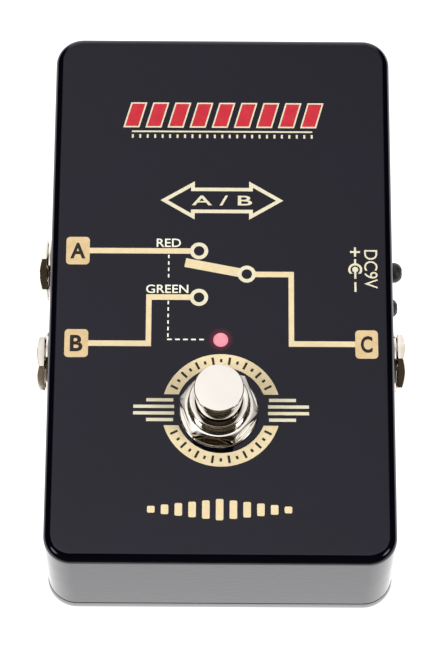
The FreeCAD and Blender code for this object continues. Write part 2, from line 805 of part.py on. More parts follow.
def make_switch_case():
    """The moulded case, open below."""
    body = new_body("switch_case")
    outline = new_sketch(body, "XY", cell.case_low)
    rectangle(outline, -cell.case_x, -cell.case_y, cell.case_x, cell.case_y)
    grow(body, outline, cell.case_high - cell.case_low)
    room = new_sketch(body, "XY", cell.case_low)
    rectangle(room, -cell.case_room_x, -cell.case_room_y, cell.case_room_x, cell.case_room_y)
    cut(body, room, cell.case_roof - cell.case_low, backwards=True)
    hole = new_sketch(body, "XY", cell.case_roof)
    circle(hole, cell.case_hole)
    cut(body, hole, cell.case_high - cell.case_roof, backwards=True)
    bearing = new_sketch(body, "XZ", cell.case_y)
    circle(bearing, cell.axle_radius, 0.0, cell.lever_axis)
    cut(body, bearing, cell.case_y * 2)
    return body


def make_switch_bracket():
    """The folded plate that carries the bushing and clasps the case."""
    body = new_body("switch_bracket")
    inner = cell.case_x + cell.bracket_gap
    outer = inner + cell.bracket_thick
    under = cell.case_high + cell.bracket_play
    sketch = new_sketch(body, "XZ", -cell.case_y)
    polygon(sketch, [
        (-outer, cell.bracket_low),
        (-inner, cell.bracket_low),
        (-inner, under),
        (inner, under),
        (inner, cell.bracket_low),
        (outer, cell.bracket_low),
        (outer, cell.bush_shoulder),
        (-outer, cell.bush_shoulder),
    ])
    grow(body, sketch, cell.case_y * 2)
    hole = new_sketch(body, "XY", cell.bush_shoulder)
    circle(hole, cell.bush_spigot)
    cut(body, hole, MARGIN * 2)
    return body


def tag_points():
    """The six tags of the two poles as x, y and place pairs; place 0 is the middle one."""
    return [(cell.tag_pitch * place, cell.pole_y * side, place)
            for side in (-1, 1) for place in (-1, 0, 1)]


def make_tag_board():
    """The board that closes the case and holds the tags."""
    body = new_body("switch_tag_board")
    outline = new_sketch(body, "XY", cell.tag_board_low)
    rectangle(outline, -cell.case_x, -cell.case_y, cell.case_x, cell.case_y)
    grow(body, outline, cell.case_low - cell.tag_board_low)
    slots = new_sketch(body, "XY", cell.tag_board_low)
    half_x = cell.tag_wide / 2 + cell.tag_slot_gap
    half_y = cell.tag_thick / 2 + cell.tag_slot_gap
    for x, y, _ in tag_points():
        rectangle(slots, x - half_x, y - half_y, x + half_x, y + half_y)
    cut(body, slots, cell.case_low - cell.tag_board_low, backwards=True)
    return body


def make_switch_tags():
    """Six tags as one group: blades below the board, contact faces above it."""
    body = new_body("switch_tags")
    faces = new_sketch(body, "XY", cell.case_low)
    rests = new_sketch(body, "XY", cell.case_low)
    blades = new_sketch(body, "XY", cell.case_low)
    half_x = cell.tag_wide / 2
    half_y = cell.tag_thick / 2
    for x, y, position in tag_points():
        rectangle(blades, x - half_x, y - half_y, x + half_x, y + half_y)
        reach = cell.tag_head if position else cell.fulcrum_half
        target = faces if position else rests
        rectangle(target, x - reach, y - cell.tag_head, x + reach, y + cell.tag_head)
    grow(body, blades, cell.case_low - cell.tag_end, backwards=True)
    grow(body, faces, cell.tag_head_high - cell.case_low)
    grow(body, rests, cell.fulcrum_high - cell.case_low)
    return body


def make_rockers():
    """Two contact strips, one on each pole's fulcrum, about the rocker axis."""
    body = new_body("contact_rockers")
    sketch = new_sketch(body, "XY")
    half = cell.rocker_long / 2
    for side in (-1, 1):
        middle = cell.pole_y * side
        rectangle(sketch, -half, middle - cell.rocker_wide / 2, half, middle + cell.rocker_wide / 2)
    grow(body, sketch, cell.rocker_thick)
    return body


def make_lever():
    """The moulded swing lever about its own axis, which lies along Y."""
    body = new_body("swing_lever")
    sketch = new_sketch(body, "XZ", -cell.lever_half)
    polygon(sketch, [
        (-cell.lever_waist, cell.lever_low),
        (cell.lever_waist, cell.lever_low),
        (cell.lever_waist, -cell.lever_waist),
        (cell.lever_wing, 0.0),
        (cell.lever_wing, cell.lever_wing_high),
        (-cell.lever_wing, cell.lever_wing_high),
        (-cell.lever_wing, 0.0),
        (-cell.lever_waist, -cell.lever_waist),
    ])
    grow(body, sketch, cell.lever_half * 2)
    hub = new_sketch(body, "XZ", cell.lever_half)
    circle(hub, cell.lever_hub)
    cut(body, hub, cell.lever_half * 2)
    sockets = new_sketch(body, "XY", cell.lever_low)
    for side in (-1, 1):
        circle(sockets, cell.tip_hole, 0.0, cell.pole_y * side)
    cut(body, sockets, cell.tip_upper - cell.lever_low, backwards=True)
    return body


def make_pushers():
    """Two ball-ended pushers in the lever's lower end, as one group."""
    pattern = new_body("pusher_pattern")
    turned(pattern, [
        (0.0, cell.tip_centre),
        (cell.tip_radius, cell.tip_centre),
        (cell.tip_radius, cell.tip_upper - cell.tip_play),
        (0.0, cell.tip_upper - cell.tip_play),
    ])
    ball = doc.addObject("Part::Sphere", "pusher_ball")
    bind(ball, "Radius", cell.tip_radius)
    bind(ball, "Placement.Base.z", cell.tip_centre)
    whole = doc.addObject("Part::Fuse", "pusher_whole")
    whole.Base = pattern
    whole.Tool = ball
    group = doc.addObject("Part::Compound", "lever_pushers")
    group.Label = "lever_pushers"
    links = []
    for side in (-1, 1):
        link = doc.addObject("App::Link", "pusher")
        link.LinkedObject = whole
        bind(link, "Placement.Base.y", cell.pole_y * side)
        links.append(link)
    group.Links = links
    return group


def make_axle():
    """The lever's steel axle, held by the case."""
    body = new_body("lever_axle")
    sketch = new_sketch(body, "XZ", -cell.case_y)
    circle(sketch, cell.axle_radius, 0.0, cell.lever_axis)
    grow(body, sketch, cell.case_y * 2)
    return body


def make_foot_switch():
    """The whole foot switch with its nuts and washers."""
    top = cell.box_top
    upright = [
        make_plunger(),
        make_clip(),
        make_bushing(),
        make_spring(),
        make_ring("switch_washer", cell.washer_outer, cell.washer_inner, top, top + cell.washer_thick),
        make_nut("switch_nut", cell.nut_flats, cell.nut_hole, top + cell.washer_thick,
                 top + cell.washer_thick + cell.nut_tall, cell.nut_bevel, cell.nut_slope,
                 cell.nut_turn),
        make_lock_washer(),
        make_nut("switch_lower_nut", cell.nut_flats, cell.nut_hole, cell.lower_nut_low,
                 cell.lower_nut_high, cell.nut_bevel, cell.nut_slope),
        make_switch_case(),
        make_switch_bracket(),
        make_tag_board(),
        make_switch_tags(),
        make_axle(),
    ]
    for part in upright:
        place(part, cell.switch_x, cell.switch_y)
    lever_turn = Rotation(Vector(0, 1, 0), cell.lever_tilt.number)
    rocker_turn = Rotation(Vector(0, 1, 0), -cell.rocker_tilt.number)
    lever, pushers, rockers = make_lever(), make_pushers(), make_rockers()
    for part in (lever, pushers):
        place(part, cell.switch_x, cell.switch_y, cell.lever_axis, lever_turn)
    place(rockers, cell.switch_x, cell.switch_y, cell.rocker_axis, rocker_turn)
    return upright + [lever, pushers, rockers]


def make_jack_sleeve(label):
    """The threaded metal sleeve that a plug slides in."""
    body = new_body(label)
    lead = cell.jack_lead
    turned(body, [
        (cell.jack_bore, cell.jack_sleeve_end),
        (cell.jack_flange, cell.jack_sleeve_end),
        (cell.jack_flange, cell.jack_shoulder),
        (cell.jack_thread, cell.jack_shoulder),
        (cell.jack_thread, cell.jack_nose - lead),
        (cell.jack_thread - lead, cell.jack_nose),
        (cell.jack_bore, cell.jack_nose),
    ])
    return body


def make_jack_case(label):
    """The moulded case with its well, the contact's slot and the tags' slots."""
    body = new_body(label)
    half = cell.jack_case_half
    outline = new_sketch(body, "XY", cell.jack_case_end)
    rectangle(outline, -half, -half, half, half)
    grow(body, outline, cell.jack_shoulder - cell.jack_case_end)
    well = new_sketch(body, "XY", cell.jack_case_end)
    circle(well, cell.jack_case_well)
    cut(body, well, cell.jack_seat_end - cell.jack_case_end, backwards=True)
    seat = new_sketch(body, "XY", cell.jack_shoulder)
    circle(seat, cell.jack_seat)
    cut(body, seat, cell.jack_shoulder - cell.jack_seat_end)
    slot = new_sketch(body, "XY", cell.jack_case_end)
    wide = cell.spring_slot_half
    rectangle(slot, cell.spring_slot_low, -wide, 0.0, wide)
    cut(body, slot, cell.spring_slot_near - cell.jack_case_end, backwards=True)
    gap = cell.tag_play
    tags = new_sketch(body, "YZ", -half)
    rectangle(tags, -cell.earth_half - gap, cell.blade_root - gap,
              cell.earth_half + gap, cell.blade_root + cell.blade_thick + gap)
    cut(body, tags, half + cell.spring_slot_low + MARGIN, backwards=True)
    earth = new_sketch(body, "YZ", -half)
    rectangle(earth, cell.earth_side - cell.earth_half - gap, cell.jack_seat_end,
              cell.earth_side + cell.earth_half + gap, cell.earth_near + gap)
    cut(body, earth, half, backwards=True)
    return body


def make_tip_blade(label):
    """The sprung contact: a flat blade with a bump that rests in a plug's waist."""
    body = new_body(label)
    thick = cell.blade_thick
    level = cell.blade_level
    crest = cell.crest_level
    gap, lean = cell.blade_gap, cell.blade_lean
    sketch = new_sketch(body, "XZ", -cell.blade_half)
    polygon(sketch, [
        (level - thick, cell.blade_root + thick + gap),
        (level, cell.blade_root + thick + gap),
        (level, cell.blade_bend),
        (crest, cell.blade_crest + cell.crest_half),
        (crest, cell.blade_crest - cell.crest_half),
        (level, cell.blade_end),
        (level - thick, cell.blade_end + lean),
        (crest - thick, cell.blade_crest - cell.crest_half_in),
        (crest - thick, cell.blade_crest + cell.crest_half_in),
        (level - thick, cell.blade_bend + lean),
    ])
    grow(body, sketch, cell.blade_half * 2)
    return body


def make_tip_tag(label):
    """The solder tag under the root of the sprung contact."""
    body = new_body(label)
    sketch = new_sketch(body, "XZ", -cell.earth_half)
    rectangle(sketch, cell.tag_level, cell.blade_root,
              cell.blade_level - cell.blade_thick - cell.blade_gap,
              cell.blade_root + cell.blade_thick)
    grow(body, sketch, cell.earth_half * 2)
    return body


def make_earth_tag(label):
    """The ring behind the sleeve, with a tag that leaves the case below."""
    body = new_body(label)
    side = cell.earth_side
    half = cell.earth_half
    low = cell.earth_near - cell.earth_thick
    ring = new_sketch(body, "XY", low)
    circle(ring, cell.jack_flange)
    grow(body, ring, cell.earth_thick)
    tail = new_sketch(body, "XY", low)
    rectangle(tail, cell.tag_level, side - half, 0.0, side + half)
    grow(body, tail, cell.earth_thick)
    hole = new_sketch(body, "XY", low)
    circle(hole, cell.jack_case_well)
    cut(body, hole, cell.earth_thick, backwards=True)
    return body


def make_jack(name, side, y, nut_turn):
    """One jack on its wall: side is +1 on the right and -1 on the left."""
    parts = [
        make_jack_sleeve("jack_%s_sleeve" % name),
        make_ring("jack_%s_washer" % name, cell.jack_washer, cell.jack_hole, 0.0,
                  cell.jack_washer_thick),
        make_nut("jack_%s_nut" % name, cell.jack_nut_flats, cell.jack_thread + cell.jack_nut_play,
                 cell.jack_washer_thick, cell.jack_washer_thick + cell.jack_nut_tall,
                 cell.jack_nut_bevel, cell.jack_nut_slope, nut_turn),
        make_jack_case("jack_%s_case" % name),
        make_tip_blade("jack_%s_tip_contact" % name),
        make_tip_tag("jack_%s_tip_tag" % name),
        make_earth_tag("jack_%s_earth_tag" % name),
    ]
    for part in parts:
        place(part, cell.jack_face * side, y, cell.jack_z, OUT_RIGHT if side > 0 else OUT_LEFT)
    return parts


def make_lamp_lens():
    """The moulded 3 mm lamp with its foot and dome."""
    body = new_body("lamp_lens")
    radius = cell.lamp_radius
    turned(body, [
        (0.0, cell.lamp_low),
        (cell.lamp_flange, cell.lamp_low),
        (cell.lamp_flange, cell.lamp_flange_high),
        (radius, cell.lamp_flange_high),
        (radius, cell.lamp_dome + radius),
        (0.0, cell.lamp_dome + radius),
    ])
    top = cell.lamp_dome.number + cell.lamp_radius.number
    round_edges(body, radius * DOME_SHARE, lambda edge: flat_at(edge, top))
    return body


def lead_points():
    """The lamp's three leads, across the lamp."""
    return [(cell.lead_pitch * place, ZERO) for place in (-1, 0, 1)]


def make_lamp_leads():
    """Three square leads as one group."""
    body = new_body("lamp_leads")
    sketch = new_sketch(body, "XY", cell.lead_end)
    half = cell.lead_thick / 2
    for x, y in lead_points():
        rectangle(sketch, x - half, y - half, x + half, y + half)
    grow(body, sketch, cell.lamp_low - cell.lead_end)
    return body


def make_lamp_board():
    """The small board that joins the lamp, the resistors and their wires."""
    body = new_body("lamp_board")
    outline = new_sketch(body, "XY", cell.board_low)
    rectangle(outline, -cell.board_x, cell.board_near - cell.lamp_y,
              cell.board_x, cell.board_far - cell.lamp_y)
    grow(body, outline, cell.board_high - cell.board_low)
    holes = new_sketch(body, "XY", cell.board_low)
    for x, y in lead_points():
        circle(holes, cell.lead_hole, x, y)
    for y in (cell.resistor_far_y, cell.resistor_near_y):
        for side in (-1, 1):
            circle(holes, cell.lead_hole, cell.resistor_reach * side, y - cell.lamp_y)
    cut(body, holes, cell.board_high - cell.board_low, backwards=True)
    return body


def make_resistor(label, y):
    """An axial resistor whose leads go down through the board."""
    low = cell.resistor_end
    barrel = doc.addObject("Part::Cylinder", label + "_barrel")
    bind(barrel, "Radius", cell.resistor_radius)
    bind(barrel, "Height", cell.resistor_long)
    barrel.Placement.Rotation = Rotation(Vector(0, 1, 0), 90)
    bind(barrel, "Placement.Base.x", -cell.resistor_long / 2)
    bind(barrel, "Placement.Base.z", cell.resistor_high)
    bar = doc.addObject("Part::Cylinder", label + "_bar")
    bind(bar, "Radius", cell.resistor_lead)
    bind(bar, "Height", cell.resistor_reach * 2)
    bar.Placement.Rotation = Rotation(Vector(0, 1, 0), 90)
    bind(bar, "Placement.Base.x", -cell.resistor_reach)
    bind(bar, "Placement.Base.z", cell.resistor_high)
    legs = []
    for side in (-1, 1):
        leg = doc.addObject("Part::Cylinder", label + "_leg")
        bind(leg, "Radius", cell.resistor_lead)
        bind(leg, "Height", cell.resistor_high - low)
        bind(leg, "Placement.Base.x", cell.resistor_reach * side)
        bind(leg, "Placement.Base.z", low)
        legs.append(leg)
    bends = []
    for side in (-1, 1):
        bend = doc.addObject("Part::Sphere", label + "_bend")
        bind(bend, "Radius", cell.resistor_lead)
        bind(bend, "Placement.Base.x", cell.resistor_reach * side)
        bind(bend, "Placement.Base.z", cell.resistor_high)
        bends.append(bend)
    whole = doc.addObject("Part::MultiFuse", label)
    whole.Label = label
    whole.Shapes = [barrel, bar] + legs + bends
    place(whole, cell.lamp_x, y)
    return whole


def make_lamp():
    """The lamp, its leads, board and two resistors."""
    upright = [make_lamp_lens(), make_lamp_leads(), make_lamp_board()]
    for part in upright:
        place(part, cell.lamp_x, cell.lamp_y)
    far = make_resistor("lamp_resistor_red", cell.resistor_far_y)
    close = make_resistor("lamp_resistor_green", cell.resistor_near_y)
    return upright + [far, close]


def slot_outline(sketch, half_pitch, radius):
    """A flange outline: round ends about two points on the X axis."""
    first = sketch.GeometryCount
    for side in (1, -1):
        centre = Vector(half_pitch.number * side, 0, 0)
        ring = Part.Circle(centre, Vector(0, 0, 1), radius.number)
        start = -math.pi / 2 if side > 0 else math.pi / 2
        sketch.addGeometry(Part.ArcOfCircle(ring, start, start + math.pi), False)
    low = Part.LineSegment(Vector(-half_pitch.number, -radius.number, 0),
                           Vector(half_pitch.number, -radius.number, 0))
    high = Part.LineSegment(Vector(half_pitch.number, radius.number, 0),
                            Vector(-half_pitch.number, radius.number, 0))
    sketch.addGeometry(low, False)
    sketch.addGeometry(high, False)
    for before, after in ((2, 0), (0, 3), (3, 1), (1, 2)):
        sketch.addConstraint(Sketcher.Constraint("Tangent", first + before, 2, first + after, 1))
    hold_point(sketch, first, 3, half_pitch, 0.0)
    hold_point(sketch, first + 1, 3, -half_pitch, 0.0)
    hold(sketch, "Radius", (first,), radius)


def make_power_socket_body():
    """The moulded socket: nose, flange and barrel, with the contact's slot."""
    body = new_body("power_socket")
    flange = new_sketch(body, "XY", cell.power_back)
    slot_outline(flange, cell.power_pitch, cell.power_flange_half)
    grow(body, flange, cell.power_flange, backwards=True)
    turned(body, [
        (0.0, cell.power_end),
        (cell.power_barrel, cell.power_end),
        (cell.power_barrel, cell.power_back),
        (cell.power_nose, cell.power_back),
        (cell.power_nose, cell.power_mouth),
        (0.0, cell.power_mouth),
    ])
    bore = new_sketch(body, "XY", cell.power_mouth)
    circle(bore, cell.power_bore)
    cut(body, bore, cell.power_mouth - cell.power_floor)
    pin = new_sketch(body, "XY", cell.power_mouth)
    circle(pin, cell.pin_shank)
    cut(body, pin, cell.power_mouth - cell.power_end)
    gap = cell.leaf_play
    leaf = new_sketch(body, "XY", cell.power_end)
    half = cell.leaf_half + gap
    rectangle(leaf, -cell.leaf_slot, -half, -cell.leaf_window, half)
    cut(body, leaf, cell.leaf_front - cell.power_end + gap, backwards=True)
    screws = new_sketch(body, "XY", cell.power_back)
    for side in (-1, 1):
        circle(screws, cell.wall_screw_hole, cell.power_pitch * side)
    cut(body, screws, cell.power_flange)
    return body


def make_power_pin():
    """The centre pin with a bevelled tip and a solder tail."""
    body = new_body("power_centre_pin")
    lead = cell.pin_lead
    turned(body, [
        (0.0, cell.pin_tail),
        (cell.pin_shank, cell.pin_tail),
        (cell.pin_shank, cell.power_floor),
        (cell.pin_radius, cell.power_floor),
        (cell.pin_radius, cell.pin_tip - lead),
        (cell.pin_radius - lead, cell.pin_tip),
        (0.0, cell.pin_tip),
    ])
    return body


def make_power_leaf():
    """The sleeve contact: a leaf in the slot, with a tail behind the barrel."""
    body = new_body("power_sleeve_contact")
    sketch = new_sketch(body, "XZ", -cell.leaf_half)
    outer = -cell.leaf_level
    rectangle(sketch, outer, cell.power_end - cell.leaf_tail, outer + cell.leaf_thick, cell.leaf_front)
    grow(body, sketch, cell.leaf_half * 2)
    return body


def make_pair(label, pattern, reach):
    """Two like fasteners as one group, at the socket's two screw holes."""
    group = doc.addObject("Part::Compound", label)
    group.Label = label
    links = []
    for side in (-1, 1):
        link = doc.addObject("App::Link", label + "_one")
        link.LinkedObject = pattern
        bind(link, "Placement.Base.x", reach * side)
        links.append(link)
    group.Links = links
    return group


def make_wall_screws():
    """The two round-headed screws of the power socket."""
    pattern = new_body("wall_screw_pattern")
    turned(pattern, [
        (0.0, -cell.wall_screw_long),
        (cell.wall_screw, -cell.wall_screw_long),
        (cell.wall_screw, 0.0),
        (cell.wall_head, 0.0),
        (cell.wall_head, cell.wall_head_tall),
        (0.0, cell.wall_head_tall),
    ])
    top = cell.wall_head_tall.number
    rounding = cell.wall_head_tall - cell.wall_head_edge
    round_edges(pattern, rounding, lambda edge: flat_at(edge, top))
    cross_recess(pattern, cell.wall_head_tall, cell.cross_deep, along=False)
    return make_pair("wall_screws", pattern, cell.power_pitch)


def make_wall_nuts():
    """The two nuts behind the socket's flange."""
    high = cell.power_back - cell.power_flange
    pattern = new_body("wall_nut_pattern")
    sketch = new_sketch(pattern, "XY", high)
    hexagon(sketch, cell.wall_nut_flats, 90.0)
    circle(sketch, cell.wall_nut_hole)
    grow(pattern, sketch, cell.wall_nut_tall, backwards=True)
    return make_pair("wall_nuts", pattern, cell.power_pitch)


def make_power_socket():
    """The power socket with its contacts and fasteners."""
    lean = Rotation(Vector(0, 0, 1), -cell.power_turn.number)
    turn = OUT_RIGHT.multiply(lean)
    parts = [
        make_power_socket_body(),
        make_power_pin(),
        make_power_leaf(),
        make_wall_screws(),
        make_wall_nuts(),
    ]
    for part in parts:
        place(part, cell.power_face, cell.power_y, cell.power_z, turn)
    return parts


def route_edges(points):
    """Straight runs joined by tangent arcs as wide as the runs allow."""
    count = len(points)
    edges = []
    start = points[0]
    for index in range(1, count - 1):
        corner = points[index]
        back = points[index - 1] - corner
        ahead = points[index + 1] - corner
        trim = BEND_SHARE * min(back.Length, ahead.Length)
        leave = corner + Vector(back).normalize() * trim
        arrive = corner + Vector(ahead).normalize() * trim
        edges.append(Part.LineSegment(start, leave).toShape())
        edges.append(arc_between(leave, corner, arrive))
        start = arrive
    edges.append(Part.LineSegment(start, points[-1]).toShape())
    return edges


def make_wires(label, routes):
    """Insulated wires along hand-laid routes, as one group."""
    radius = cell.wire_radius.number
    tubes = []
    for route in routes:
        edges = route_edges([Vector(*point) for point in route])
        tube = swept(edges, radius)
        length = sum(edge.Length for edge in edges)
        expected = math.pi * radius * radius * length
        if abs(tube.Volume / expected - 1.0) > WIRE_SLACK:
            raise RuntimeError("bad wire in " + label)
        tubes.append(tube)
    wires = doc.addObject("Part::Feature", label)
    wires.Label = label
    wires.Shape = Part.makeCompound(tubes)
    return wires


def make_wiring():
    """The wires between jacks, switch, lamp board and power socket."""
    tag_in = cell.wire_gap.number
    tags_end = cell.jack_z.number + cell.tag_level.number
    tip_x = cell.jack_face.number + cell.blade_root.number - tag_in
    tip_z = tags_end + cell.tip_wire.number
    earth_x = cell.jack_face.number + cell.earth_near.number - cell.earth_thick.number - tag_in
    earth_z = tags_end + cell.earth_wire.number
    upper_z = tags_end + cell.earth_wire_high.number
    side = cell.earth_side.number
    a_y, b_y = cell.jack_a_y.number, cell.jack_b_y.number
    face = cell.pole_y.number + cell.tag_thick.number / 2 + tag_in
    far_y = cell.switch_y.number + face
    near_y = cell.switch_y.number - face
    left_x = cell.switch_x.number - cell.tag_pitch.number
    middle_x = cell.switch_x.number
    right_x = cell.switch_x.number + cell.tag_pitch.number
    tag_z = cell.switch_wire.number
    board = cell.board_low.number - tag_in
    pin_x = cell.power_face.number + cell.pin_tail.number - tag_in
    leaf_x = cell.power_face.number + cell.power_end.number - cell.leaf_wire.number
    leaf_z = cell.power_z.number - cell.leaf_level.number - cell.leaf_wire_low.number
    power_y, power_z = cell.power_y.number, cell.power_z.number
    signal = make_wires("signal_wires", [
        [(-tip_x, a_y, tip_z), (-21.5, a_y, tip_z), (-12.0, 6.0, 7.6), (1.5, -2.0, 7.0),
         (right_x, -12.0, tag_z), (right_x, far_y, tag_z)],
        [(-tip_x, b_y, tip_z), (-21.0, b_y, tip_z), (-12.0, -12.5, 7.4),
         (left_x, -15.5, tag_z), (left_x, far_y, tag_z)],
        [(tip_x, b_y, tip_z), (20.5, b_y, tip_z), (12.0, -13.2, 9.8), (5.0, -16.6, 9.4),
         (middle_x, -19.2, tag_z), (middle_x, far_y, tag_z)],
    ])
    earth = make_wires("earth_wires", [
        [(-earth_x, a_y + side, earth_z), (-23.5, a_y + side, earth_z), (-20.5, 7.0, 6.6),
         (-20.5, 0.0, 6.6), (-23.5, b_y + side, earth_z), (-earth_x, b_y + side, earth_z)],
        [(-earth_x, b_y + side, upper_z), (-22.0, b_y + side, upper_z), (-14.0, -6.5, 6.0),
         (-6.0, -5.5, 3.4), (5.0, -5.5, 3.4), (13.0, -8.5, 3.4), (18.5, -14.5, 5.0),
         (23.5, b_y - side, earth_z), (earth_x, b_y - side, earth_z)],
    ])
    lamp = make_wires("lamp_wires", [
        [(left_x, near_y, tag_z), (left_x, -33.5, tag_z), (-6.5, -36.0, 4.6),
         (-8.5, -32.0, 3.2), (-8.5, -23.0, 3.0), (-6.9, -18.6, 4.4), (-6.9, -18.2, 12.0),
         (-5.6, -17.4, 18.0), (-4.9, -16.0, 20.8), (-4.9, -16.0, board)],
        [(right_x, near_y, tag_z), (right_x, -33.5, tag_z), (5.9, -36.0, 4.6),
         (8.0, -32.0, 3.2), (8.0, -23.0, 3.0), (6.1, -18.6, 4.4), (6.1, -18.2, 12.0),
         (5.4, -17.4, 18.0), (4.7, -16.0, 20.8), (4.7, -16.0, board)],
    ])
    power = make_wires("power_wires", [
        [(leaf_x, 6.1, leaf_z), (leaf_x, 6.1, 8.0), (17.5, -3.0, 6.6), (15.8, -12.0, 6.6),
         (15.0, -22.0, 6.4), (12.5, -33.0, 6.6), (5.0, -39.5, tag_z), (middle_x, -36.0, tag_z),
         (middle_x, near_y, tag_z)],
        [(pin_x, power_y, power_z), (11.0, power_y, power_z), (6.6, 3.0, 16.8),
         (5.6, -2.2, 18.5), (5.6, -4.6, 20.5), (5.6, -4.6, board)],
    ])
    return [signal, earth, lamp, power]


def check_and_write(parts):
    """Stop on any failed object or bad shape, then write each sub-part."""
    doc.recompute()
    for item in doc.Objects:
        if any(word in item.State for word in ("Invalid", "Error")):
            raise RuntimeError("failed: " + item.Label)
    for part in parts:
        if part.Shape.isNull() or not part.Shape.isValid():
            raise RuntimeError("bad shape: " + part.Label)
    os.makedirs("parts", exist_ok=True)
    for part in parts:
        part.Shape.exportStep("parts/%s.step" % part.Label)
    print("%d sub-parts written" % len(parts))


fill_sheet()
all_parts = make_enclosure() + make_base_plate() + make_base_screws() + make_foot_switch()
all_parts += make_jack("a", -1, cell.jack_a_y, cell.jack_a_turn)
all_parts += make_jack("b", -1, cell.jack_b_y, cell.jack_b_turn)
all_parts += make_jack("c", 1, cell.jack_b_y, cell.jack_c_turn)
all_parts += make_lamp() + make_power_socket() + make_wiring()
check_and_write(all_parts)
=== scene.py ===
"""Looks of a two-way line pedal, built round its packed construction."""

import logging
import math
from dataclasses import dataclass
from enum import Enum
from typing import Optional, Sequence, Union

import bmesh
import bpy
from mathutils import Matrix, Vector


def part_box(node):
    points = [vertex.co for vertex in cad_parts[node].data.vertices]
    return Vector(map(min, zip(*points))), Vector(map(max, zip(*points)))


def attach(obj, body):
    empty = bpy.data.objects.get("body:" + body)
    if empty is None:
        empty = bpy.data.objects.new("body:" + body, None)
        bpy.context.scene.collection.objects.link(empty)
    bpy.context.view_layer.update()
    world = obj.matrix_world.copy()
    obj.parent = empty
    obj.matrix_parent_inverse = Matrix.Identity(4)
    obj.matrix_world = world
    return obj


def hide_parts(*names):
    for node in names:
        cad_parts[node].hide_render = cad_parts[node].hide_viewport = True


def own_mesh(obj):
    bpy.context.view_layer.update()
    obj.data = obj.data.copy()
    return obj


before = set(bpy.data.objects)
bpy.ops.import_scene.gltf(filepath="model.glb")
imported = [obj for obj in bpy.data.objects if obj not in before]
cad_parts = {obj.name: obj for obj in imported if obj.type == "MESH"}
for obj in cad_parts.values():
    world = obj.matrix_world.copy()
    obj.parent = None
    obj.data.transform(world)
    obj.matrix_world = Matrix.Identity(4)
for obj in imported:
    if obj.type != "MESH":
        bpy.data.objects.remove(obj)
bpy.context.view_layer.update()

Pair = tuple[float, float]
Triple = tuple[float, float, float]
Shape = bmesh.types.BMesh
Socket = bpy.types.NodeSocket
Feed = Union[float, Triple, Socket]

MM = 0.001
FULL_TURN = 2 * math.pi
MERGE = 1e-7
SHARP = math.radians(24.0)
CREASE = math.radians(40.0)
THREAD_DEPTH = 0.61
MIDDLE: Pair = (0.3, 0.7)
ORIGIN: Triple = (0.0, 0.0, 0.0)
UPWARD: Triple = (0.0, 0.0, 1.0)
EVEN: Triple = (1.0, 1.0, 1.0)
LEVEL: Triple = (1.0, 1.0, 0.0)
BLACK: Triple = (0.0, 0.0, 0.0)
WHITE: Triple = (1.0, 1.0, 1.0)
SWITCH_AXIS: Triple = (-0.4, -26.0, 0.0)
LAMP_AXIS: Triple = (-0.1, -10.7, 0.0)

log = logging.getLogger("pedal")


class Body(Enum):
    """The bodies of the construction that new pieces ride on."""

    HOUSING = "housing"
    PLUNGER = "plunger"


class Slot(Enum):
    """Names of material slots, which the finishes carry."""

    COAT = "box_coat"
    NICKEL = "nickel"
    LAMP = "lamp_red"
    GOLD_INK = "gold_ink"
    PALE_INK = "pale_ink"
    RED_INK = "red_ink"
    STEEL = "spring_steel"


class Facing(Enum):
    """The way that a turned piece's own upper end points."""

    UP = 0.0
    LEFT = -math.pi / 2
    RIGHT = math.pi / 2

    def at(self, x: float, y: float, z: float) -> Matrix:
        """The place of a piece that stands at a point, in mm, and faces this way."""
        return Matrix.Translation(Vector((x, y, z)) * MM) @ Matrix.Rotation(self.value, 4, "Y")


# Finishes


